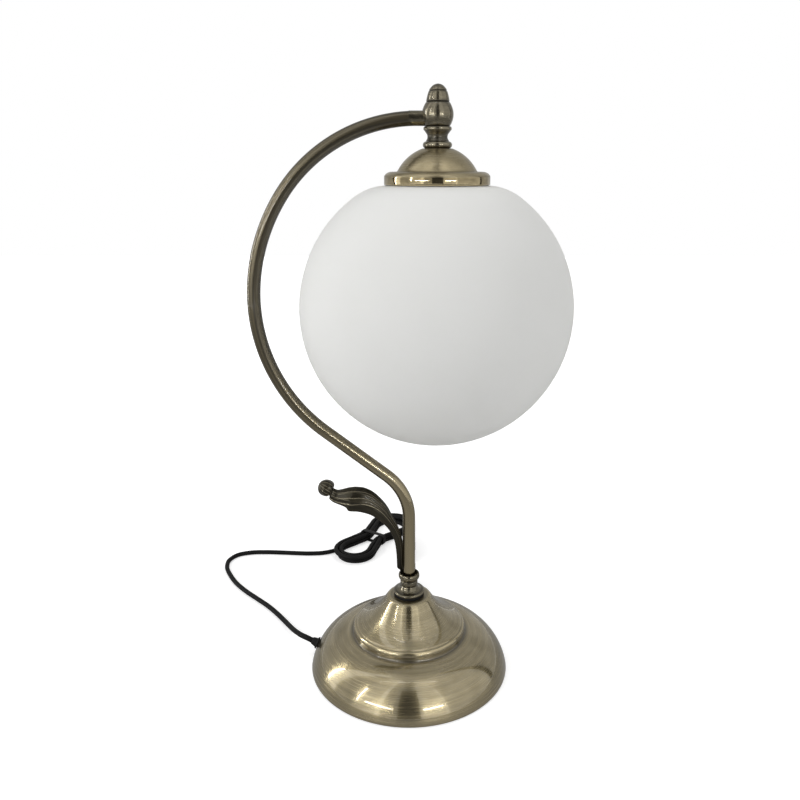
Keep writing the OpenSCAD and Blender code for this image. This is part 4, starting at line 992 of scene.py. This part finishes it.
def markAlong(piece, line):
    # grainPlace runs round the tube and along its line; the inside of a bend gets more painted shade
    co = corners(piece) / mm
    way = np.array(line)
    steps = np.hypot(*(way[1:] - way[:-1]).T)
    run = np.concatenate([[0], np.cumsum(steps)])
    head = np.gradient(way, axis=0)
    head /= np.hypot(head[:, 0], head[:, 1])[:, None]
    near = np.argmin((co[:, 0:1] - way[:, 0]) ** 2 + (co[:, 2:3] - way[:, 1]) ** 2, axis=1)
    offset = co[:, [0, 2]] - way[near]
    side = offset[:, 0] * -head[near, 1] + offset[:, 1] * head[near, 0]
    lead = offset[:, 0] * head[near, 0] + offset[:, 1] * head[near, 1]
    size = np.maximum(np.hypot(side, co[:, 1]), 1e-4)
    s = run[near] + lead
    setGrainPlace(piece, side / size, co[:, 1] / size, s * mm)
    a = armAge
    # painted shade where the tube leaves the cup, where it enters the knuckle, and up the arm
    recess = np.clip(1 - np.abs(s - a["cupAt"]) / a["cupWidth"], 0, 1) * a["cupDark"]
    atEnd = np.clip((s - (run[-1] - a["endLength"])) / a["endWidth"], 0, 1)
    recess = np.maximum(recess, atEnd * a["endDark"])
    inner = np.clip(0.5 - 0.5 * side / size, 0, 1)
    upper = np.clip((s - a["upperFrom"]) / a["upperOver"], 0, 1)
    recess = np.maximum(recess, upper * (a["upperDark"] + a["innerDark"] * inner))
    setMark(piece, "recess", recess)
    # painted highlight that lightens the stem towards its foot
    setMark(piece, "worn", a["wornStem"] * np.clip(a["wornFrom"] - s / a["wornOver"], 0, 1))


makeArm()
print("arm bent")

# leaf
leafShape = {
    "stations": [(-0.3, 0.3, -4.8, 0.3, 3.3), (-0.3, 12.6, -5.1, 13, 3.4), (-0.7, 25.3, -6.5, 25.2, 4),
                 (-3.5, 36.1, -9.5, 34, 5), (-8, 45.6, -14.5, 41.6, 6.2), (-12.4, 55, -20.9, 47.9, 7.5),
                 (-17.5, 61.8, -26, 51.2, 8), (-23.5, 67.6, -31, 53, 8.4), (-30, 71, -36, 54.2, 8.8),
                 (-36.3, 71.9, -42.8, 54.7, 9), (-40, 71.7, -44.5, 57.2, 8.4), (-44, 71, -47.5, 58.6, 7.5),
                 (-48.5, 69.8, -52.0, 60.0, 6.4), (-52, 69.3, -55.6, 61.4, 5.5),
                 (-55.3, 70.8, -58.4, 64.2, 5.6)],
    "sides": 32, "perStation": 3, "wall": 1.6, "shift": (-5, 89.4),
    "cupDepth": 6.3, "cupTop": 0.05, "cupRadii": (7.1, 5.3), "cupSpan": 36, "cupCentre": 5,
    "tip": (-60.4, 71.1), "tipRadius": 6.9, "tipFrom": (1.2, 2.4), "tipSwirl": (0.035, 5, 3),
    "tipRings": (-0.6, -0.35, -0.1, 0.15, 0.4, 0.6, 0.76, 0.88, 0.96, 0.995),
    "veins": [(0.0, 0.45, 0.035), (0.40, 0.62, 0.030), (0.70, 0.62, 0.030)], "veinSpread": (0.35, 1.1),
    "veinWidening": (1.2, 0.8), "fluteHeight": 0.10, "fluteTurns": 34.0, "fluteEase": 0.5,
}
# where the leaf is rubbed bright and where it stays dark: tarnish in the low places between its veins,
# painted shade at its stem in the collar's cup
leafAge = {"grainRun": 0.09, "wornGain": 0.9, "wornFrom": 0.25, "wornMost": 0.45,
           "stemShare": 0.25, "stemFall": 2, "stemDark": 3, "lowRise": 0.15, "lowDark": 0.25}


def curved(a, b, c, d, t):
    return tuple(0.5 * (2 * q + (r - p) * t + (2 * p - 5 * q + 4 * r - s) * t * t
                        + (3 * q - p - 3 * r + s) * t ** 3) for p, q, r, s in zip(a, b, c, d))


def leafStation(share):
    stations = leafShape["stations"]
    last = len(stations) - 1
    i = min(int(share), last - 1)
    around = [stations[min(max(k, 0), last)] for k in range(i - 1, i + 3)]
    return curved(*around, share - i)


def veinHeight(across, along):
    # raised veins that start together in the stem and spread towards the margin
    start, growth = leafShape["veinSpread"]
    thin, thicker = leafShape["veinWidening"]
    spread = min(1.0, start + along * growth)
    rise = 0.0
    for centre, height, width in leafShape["veins"]:
        away = abs(across - centre * spread) / (width * (thin + thicker * along))
        rise = max(rise, height * math.exp(-away * away))
    flutes = leafShape["fluteHeight"] * math.cos(across * leafShape["fluteTurns"])
    return rise + flutes * (1 - leafShape["fluteEase"] * along)


def leafPoint(station, k, out):
    x0, z0, x1, z1, half = station
    n = leafShape["sides"]
    a = math.pi * k / n - math.pi / 2
    deep = math.hypot(x1 - x0, z1 - z0)
    ny, nw = deep * math.sin(a), -half * math.cos(a)
    size = math.hypot(ny, nw)
    y = half * math.sin(a) + out * ny / size
    w = (1 - math.cos(a)) * deep + out * nw / size
    return (x0 + w * (x1 - x0) / deep, y, z0 + w * (z1 - z0) / deep)


def cupRing(z):
    n = leafShape["sides"]
    outer, inner = leafShape["cupRadii"]
    centre = leafShape["cupCentre"]
    ring = []
    for radius, way in ((outer, range(n + 1)), (inner, range(n, -1, -1))):
        for k in way:
            a = math.radians(leafShape["cupSpan"] * (k / n - 0.5))
            ring.append((centre - radius * math.cos(a), radius * math.sin(a), z))
    return ring


def tipRings():
    around = 2 * (leafShape["sides"] + 1)
    last = leafShape["stations"][-1]
    (tipX, tipZ), (backX, backZ) = leafShape["tip"], leafShape["tipFrom"]
    swell, lobes, twist = leafShape["tipSwirl"]
    wayX, wayZ = tipX - (last[0] - backX), tipZ - (last[1] - backZ)
    size = math.hypot(wayX, wayZ)
    wayX, wayZ = wayX / size, wayZ / size
    rings = []
    for k in leafShape["tipRings"]:
        r = leafShape["tipRadius"] * math.sqrt(1 - k * k)
        ring = []
        for i in range(around):
            a = math.tau * (i + 0.5) / around - math.pi / 2
            swirl = 1 + swell * math.cos(lobes * a + twist * k)
            ring.append((tipX + k * leafShape["tipRadius"] * wayX - r * swirl * wayZ * math.cos(a),
                         r * swirl * math.sin(a),
                         tipZ + k * leafShape["tipRadius"] * wayZ + r * swirl * wayX * math.cos(a)))
        rings.append(ring)
    return rings


def leafRings():
    n = leafShape["sides"]
    count = (len(leafShape["stations"]) - 1) * leafShape["perStation"]
    rings = [cupRing(-leafShape["cupDepth"]), cupRing(leafShape["cupTop"])]
    marks = [0.0, 0.0]
    for i in range(count + 1):
        along = i / count
        station = leafStation(i / leafShape["perStation"])
        back = [leafPoint(station, k, -leafShape["wall"]) for k in range(n + 1)]
        front = [leafPoint(station, k, veinHeight(abs(2 * k / n - 1), along)) for k in range(n, -1, -1)]
        rings.append(back + front)
        marks.append(along)
    tip = tipRings()
    return rings + tip, marks + [1.0] * len(tip)


def makeLeaf():
    rings, marks = leafRings()
    around = len(rings[0])
    shiftX, shiftZ = leafShape["shift"]
    deselectAll()
    # a tube of rings is extruded upwards, and each ring is then laid in its place
    bpy.ops.mesh.primitive_circle_add(vertices=around, radius=0.004, fill_type="NGON", location=(0, 0, 0))
    leaf = bpy.context.object
    leaf.name = "castLeaf"
    openMesh()
    for _ in rings[1:]:
        bpy.ops.mesh.extrude_region_move(TRANSFORM_OT_translate={"value": (0, 0, mm)})
    bpy.ops.object.mode_set(mode="OBJECT")
    places = corners(leaf)
    level = np.rint(places[:, 2] / mm).astype(int)
    order = leafOrder(places, level, around)
    flat = np.zeros_like(places)
    along = np.zeros(len(places), np.float32)
    across = np.zeros(len(places), np.float32)
    n = leafShape["sides"]
    for index in range(len(places)):
        ring, slot = level[index], order[index]
        x, y, z = rings[ring][slot]
        flat[index] = ((x + shiftX) * mm, y * mm, (z + shiftZ) * mm)
        along[index] = marks[ring]
        k = slot if slot <= n else around - 1 - slot
        across[index] = 2 * k / n - 1
    leaf.data.vertices.foreach_set("co", flat.ravel())
    leaf.data.update()
    openMesh()
    closeFacingOut()
    rise = np.array([max(veinHeight(abs(a), s), 0) for a, s in zip(across, along)], np.float32)
    g = leafAge
    setGrainPlace(leaf, across, np.zeros_like(across), along * g["grainRun"])
    setMark(leaf, "worn", np.clip(rise * g["wornGain"] - g["wornFrom"], 0, g["wornMost"]))
    # painted shade at the stem where it goes into the cup
    stem = np.clip(g["stemShare"] - along * g["stemFall"], 0, g["stemShare"]) * g["stemDark"]
    low = np.clip(g["lowRise"] - rise, 0, g["lowRise"]) / g["lowRise"]
    setMark(leaf, "recess", stem + g["lowDark"] * low)
    applyModifier(leaf, "SUBSURF", levels=1, render_levels=1)
    smoothByAngle(leaf, 60)
    dress(leaf, "leaf", replacing=("leaf",))


def leafOrder(places, level, around):
    # the circle's corners run round in order, so a corner's angle gives its number in the ring
    angle = np.arctan2(places[:, 1], places[:, 0])
    first = angle[np.argmin(np.where(level == 0, np.abs(angle), 9))]
    return np.rint((angle - first) / math.tau * around).astype(int) % around


makeLeaf()
print("leaf cast")

# cord bush: turned, then laid square to the dome where the cord comes out
bush = {
    "bore": 1.8, "inside": -10, "body": 3.5, "reach": 6.0, "endSteps": [(0.7, 0), (0.95, 0.25)],
    "barb": 4.1, "barbSteps": [(-0.1, -2.9), (0, -2.4), (0, -1.7), (-0.2, -1.4)],
    "bodySteps": [(0, -1.35), (0, 0.02)],
    "flange": 5.2, "flangeSteps": [(-0.4, 0.1), (-0.1, 0.25), (0, 0.6), (-0.1, 1.0), (-0.45, 1.4),
                                   (-1.0, 1.65), (-1.4, 2.0)],
    "mouth": 2.85, "mouthSteps": [(0.8, 2.9), (0.5, 4.0), (0.2, 5.1), (0, 5.6)], "mouthEdge": 0.3,
}


def makeBush():
    b = bush
    outline = [(b["bore"], b["inside"])] + pointsFrom(b["bore"], b["inside"], b["endSteps"])
    for part in ("barb", "body", "flange", "mouth"):
        outline += pointsFrom(b[part], 0, b[part + "Steps"])
    outline += [(b["mouth"] - b["mouthEdge"], b["reach"]), (b["bore"], b["reach"]), (b["bore"], b["inside"])]
    piece = spunPiece("cordGrommet", outline, steps=56)
    piece.rotation_euler = exitSlant()
    piece.location = [v * mm for v in fromExit(0)]
    keepInMesh(piece)
    smoothByAngle(piece, 40)
    dress(piece, "blackRubber", "lamp", ("cord_grommet",))
    return piece


cordBush = makeBush()

# smaller pieces keep the frame's shape and get softened edges
softEdges = {
    "cord_tie": ("hankTie", "blackPlastic", 0.12),
    "switch_base": ("switchLower", "blackPlastic", 0.45),
    "switch_cover": ("switchUpper", "blackPlastic", 0.45),
    "switch_rocker": ("switchRocker", "blackPlastic", 0.25),
    "switch_screws": ("switchScrews", "steel", 0.12),
    "plug_body": ("plugBody", "blackPlastic", 0.7),
    "plug_pins": ("plugPins", "steel", 0.15),
}


def softenedCopy(node, name, look, width):
    source = nodes[node]
    body = source["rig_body"]
    copy = bpy.data.objects.new(name, source.data.copy())
    copy.data.materials.clear()
    bpy.context.scene.collection.objects.link(copy)
    pickOnly(copy)
    openMesh()
    bpy.ops.mesh.remove_doubles(threshold=1e-6)
    bpy.ops.mesh.dissolve_limited(angle_limit=math.radians(1.5))
    bpy.ops.object.mode_set(mode="OBJECT")
    applyModifier(copy, "BEVEL", width=width * mm, segments=3, limit_method="ANGLE",
                  angle_limit=math.radians(25), use_clamp_overlap=True)
    smoothByAngle(copy, 35)
    dress(copy, look, body, (node,))
    return copy


softened = {node: softenedCopy(node, *settings) for node, settings in softEdges.items()}
print("cord fittings softened")

# pieces that keep the frame's own mesh
plainFinish = {
    "base_weight": "castIron", "base_pad": "felt", "base_washer": "steel", "base_nut": "steel",
    "base_nipple": "plainBrass", "inner_lead": "cordRubber", "head_nipple": "plainBrass", "gallery": "steel",
    "cap_nut": "steel", "globe_gasket": "blackRubber", "holder_cap": "blackPlastic",
    "holder_sleeve": "blackPlastic", "contact_block": "creamPlastic", "centre_contact": "plainBrass",
    "thread_shell": "plainBrass", "bulb_cap": "steel", "bulb_glass": "bulbGlass",
}
for node, look in plainFinish.items():
    nodes[node].data.materials.clear()
    nodes[node].data.materials.append(finish[look])
print("inner pieces finished")

# table, backdrop and light
studio = {
    "floorSize": 6.0, "floor": (0.76, 0.76, 0.76, 1), "floorGlow": 0.52, "floorGlowFar": 0.9,
    "glowFrom": 0.2, "glowTo": 0.9, "world": 0.57,
    "key": {"place": (-1.3, -0.85, 1.1), "aim": (0, 0, 0.25), "size": (0.8, 0.8), "power": 12.5},
    "fill": {"place": (1.3, -0.8, 0.9), "aim": (0, 0, 0.2), "size": (0.5, 0.8), "power": 4.5},
    "overhead": {"place": (0.0, -0.40, 1.9), "aim": (0, -0.02, 0.3), "size": (1.6, 0.012), "power": 0.5},
    "top": {"place": (0.1, 0.5, 1.5), "aim": (0, 0, 0.1), "size": (0.8, 0.5), "power": 2.5},
    "window": {"place": (-1.25, 0.25, 0.5), "aim": (0, 0, 0.15), "size": (0.05, 0.8), "power": 2.4},
    "lineLeft": {"place": (-0.75, -1.15, 0.50), "aim": (0, 0, 0.05), "size": (0.75, 0.02), "power": 1.9},
    "lineRight": {"place": (0.62, -1.22, 0.48), "aim": (0, 0, 0.05), "size": (0.55, 0.02), "power": 1.5},
    "lineTall": {"place": (-1.15, -0.72, 0.75), "aim": (0, 0, 0.1), "size": (0.02, 0.8), "power": 1.6},
}
# grey room round the lamp that only the gloss shows
# right and left hold the upper angle of each wall part, from the front, and its tone
roomWall = {
    "radius": 1.7, "height": 2.8, "lift": 0.02, "table": 0.32, "tableDrop": 0.0001,
    "beamWidth": 0.55, "beam": 0.24, "beamEdge": 0.68, "beamFade": 1.5, "cloudSize": 2.2,
    "cloudGain": 1.2, "cloudBase": 0.4,
    "right": [(12, 0.07), (38, 1.00), (43, 1.40), (74, 0.74), (102, 0.72), (109, 0.05), (180, 0.46)],
    "left": [(12, 0.07), (30, 0.56), (35, 1.60), (62, 0.86), (88, 0.60), (101, 1.50), (108, 0.30),
             (180, 0.46)],
}


def makeLamp(name, setting):
    bpy.ops.object.light_add(type="AREA", location=setting["place"])
    lamp = bpy.context.object
    lamp.name = name
    lamp.data.shape = "RECTANGLE"
    lamp.data.size, lamp.data.size_y = setting["size"]
    lamp.data.energy = setting["power"]
    way = Vector(setting["aim"]) - Vector(setting["place"])
    lamp.rotation_euler = way.to_track_quat("-Z", "Y").to_euler()
    return lamp


def roomTone(x, y):
    angle = math.degrees(math.atan2(x, -y))
    parts = roomWall["right"] if angle > 0 else roomWall["left"]
    return next(tone for upTo, tone in parts if abs(angle) <= upTo)


def makeRoomMaterial():
    material, tree, _ = newMaterial("greyRoomWall")
    cloud = addNode(tree, "ShaderNodeTexNoise", {
        "Vector": objectPlace(tree), "Scale": roomWall["cloudSize"], "Detail": 3.0})
    uneven = mathStep(tree, "MULTIPLY", cloud.outputs[0], roomWall["cloudGain"])
    uneven = mathStep(tree, "ADD", uneven, roomWall["cloudBase"])
    strength = mathStep(tree, "MULTIPLY", ownMark(tree, "tone", "Fac"), uneven)
    shade = addNode(tree, "ShaderNodeEmission", {"Strength": strength, "Color": (1.0, 0.99, 0.95, 1)})
    tree.links.new(shade.outputs[0], tree.nodes["Material Output"].inputs["Surface"])
    return material


def keepRoomPiece(name, material):
    piece = bpy.context.object
    piece.name = name
    keepInMesh(piece)
    piece.data.materials.append(material)
    piece.visible_camera = False
    piece.visible_diffuse = False
    piece.visible_transmission = False
    piece.visible_shadow = False
    return piece


def makeRoomWall():
    deselectAll()
    material = makeRoomMaterial()
    radius, tall = roomWall["radius"], roomWall["height"]
    bpy.ops.mesh.primitive_cylinder_add(vertices=120, radius=radius, depth=tall, end_fill_type="NOTHING",
                                        location=(0, 0, tall / 2 + roomWall["lift"]))
    wall = keepRoomPiece("greyRoom", material)
    bpy.ops.mesh.primitive_circle_add(vertices=120, radius=radius, fill_type="TRIFAN",
                                      location=(0, 0, tall + roomWall["lift"]))
    ceiling = keepRoomPiece("greyCeiling", material)
    for piece in (wall, ceiling):
        tones = [roomTone(face.center.x, face.center.y) for face in piece.data.polygons]
        setMark(piece, "tone", tones, "FACE")
    bpy.ops.mesh.primitive_circle_add(vertices=120, radius=radius, fill_type="NGON",
                                      location=(0, 0, -roomWall["tableDrop"]))
    table = keepRoomPiece("greyTable", material)
    setMark(table, "tone", [roomWall["table"]], "FACE")
    bpy.ops.mesh.primitive_grid_add(x_subdivisions=16, y_subdivisions=1, size=1,
                                    location=(0, -radius / 2, tall))
    bpy.context.object.scale = (roomWall["beamWidth"], radius, 1)
    beam = keepRoomPiece("greyBeam", material)
    # darkest along its middle
    out = [abs(point.co.x) / (roomWall["beamWidth"] / 2) for point in beam.data.vertices]
    setMark(beam, "tone", [roomWall["beam"] + (roomWall["beamEdge"] - roomWall["beam"])
                           * share ** roomWall["beamFade"] for share in out])


def backgroundShare(tree):
    # one where the eye, a mirror or glass looks straight at the surface
    path = addNode(tree, "ShaderNodeLightPath")
    seen = mathStep(tree, "MAXIMUM", path.outputs["Is Camera Ray"], path.outputs["Is Glossy Ray"])
    return mathStep(tree, "MAXIMUM", seen, path.outputs["Is Transmission Ray"])


def makeFloor():
    deselectAll()
    bpy.ops.mesh.primitive_plane_add(size=studio["floorSize"], location=(0, 0, -0.0002))
    floor = bpy.context.object
    floor.name = "studioFloor"
    keepInMesh(floor)
    material, tree, shader = newMaterial("paleFloor")
    setInputs(tree, shader, {"Base Color": studio["floor"], "Roughness": 0.9, "Specular IOR Level": 0.0})
    # the ground is whitest far away and keeps its shadow near the lamp
    away = addNode(tree, "ShaderNodeVectorMath", {0: objectPlace(tree)}, operation="LENGTH")
    glow = addNode(tree, "ShaderNodeMapRange", {
        "Value": away.outputs["Value"], "From Min": studio["glowFrom"], "From Max": studio["glowTo"],
        "To Min": studio["floorGlow"], "To Max": studio["floorGlowFar"]})
    strength = mathStep(tree, "MULTIPLY", backgroundShare(tree), glow.outputs[0])
    lit = addNode(tree, "ShaderNodeEmission", {"Color": (1, 1, 1, 1), "Strength": strength})
    both = addNode(tree, "ShaderNodeAddShader", {0: shader.outputs[0], 1: lit.outputs[0]})
    tree.links.new(both.outputs[0], tree.nodes["Material Output"].inputs["Surface"])
    floor.data.materials.append(material)


def makeStudio():
    makeFloor()
    world = bpy.data.worlds.new("studioWorld")
    bpy.context.scene.world = world
    world.use_nodes = True
    tree = world.node_tree
    share = mathStep(tree, "MULTIPLY", backgroundShare(tree), 1 - studio["world"])
    strength = mathStep(tree, "ADD", share, studio["world"])
    setInputs(tree, tree.nodes["Background"], {"Color": (1, 1, 1, 1), "Strength": strength})
    for name in ("key", "fill", "top"):
        makeLamp(name + "Light", studio[name]).visible_glossy = False
    # narrow lamps that only the gloss shows
    for name in ("overhead", "window", "lineLeft", "lineRight", "lineTall"):
        makeLamp(name + "Light", studio[name]).visible_diffuse = False
    makeRoomWall()
    bpy.context.scene.view_settings.view_transform = "Standard"


makeStudio()
print("studio lit")
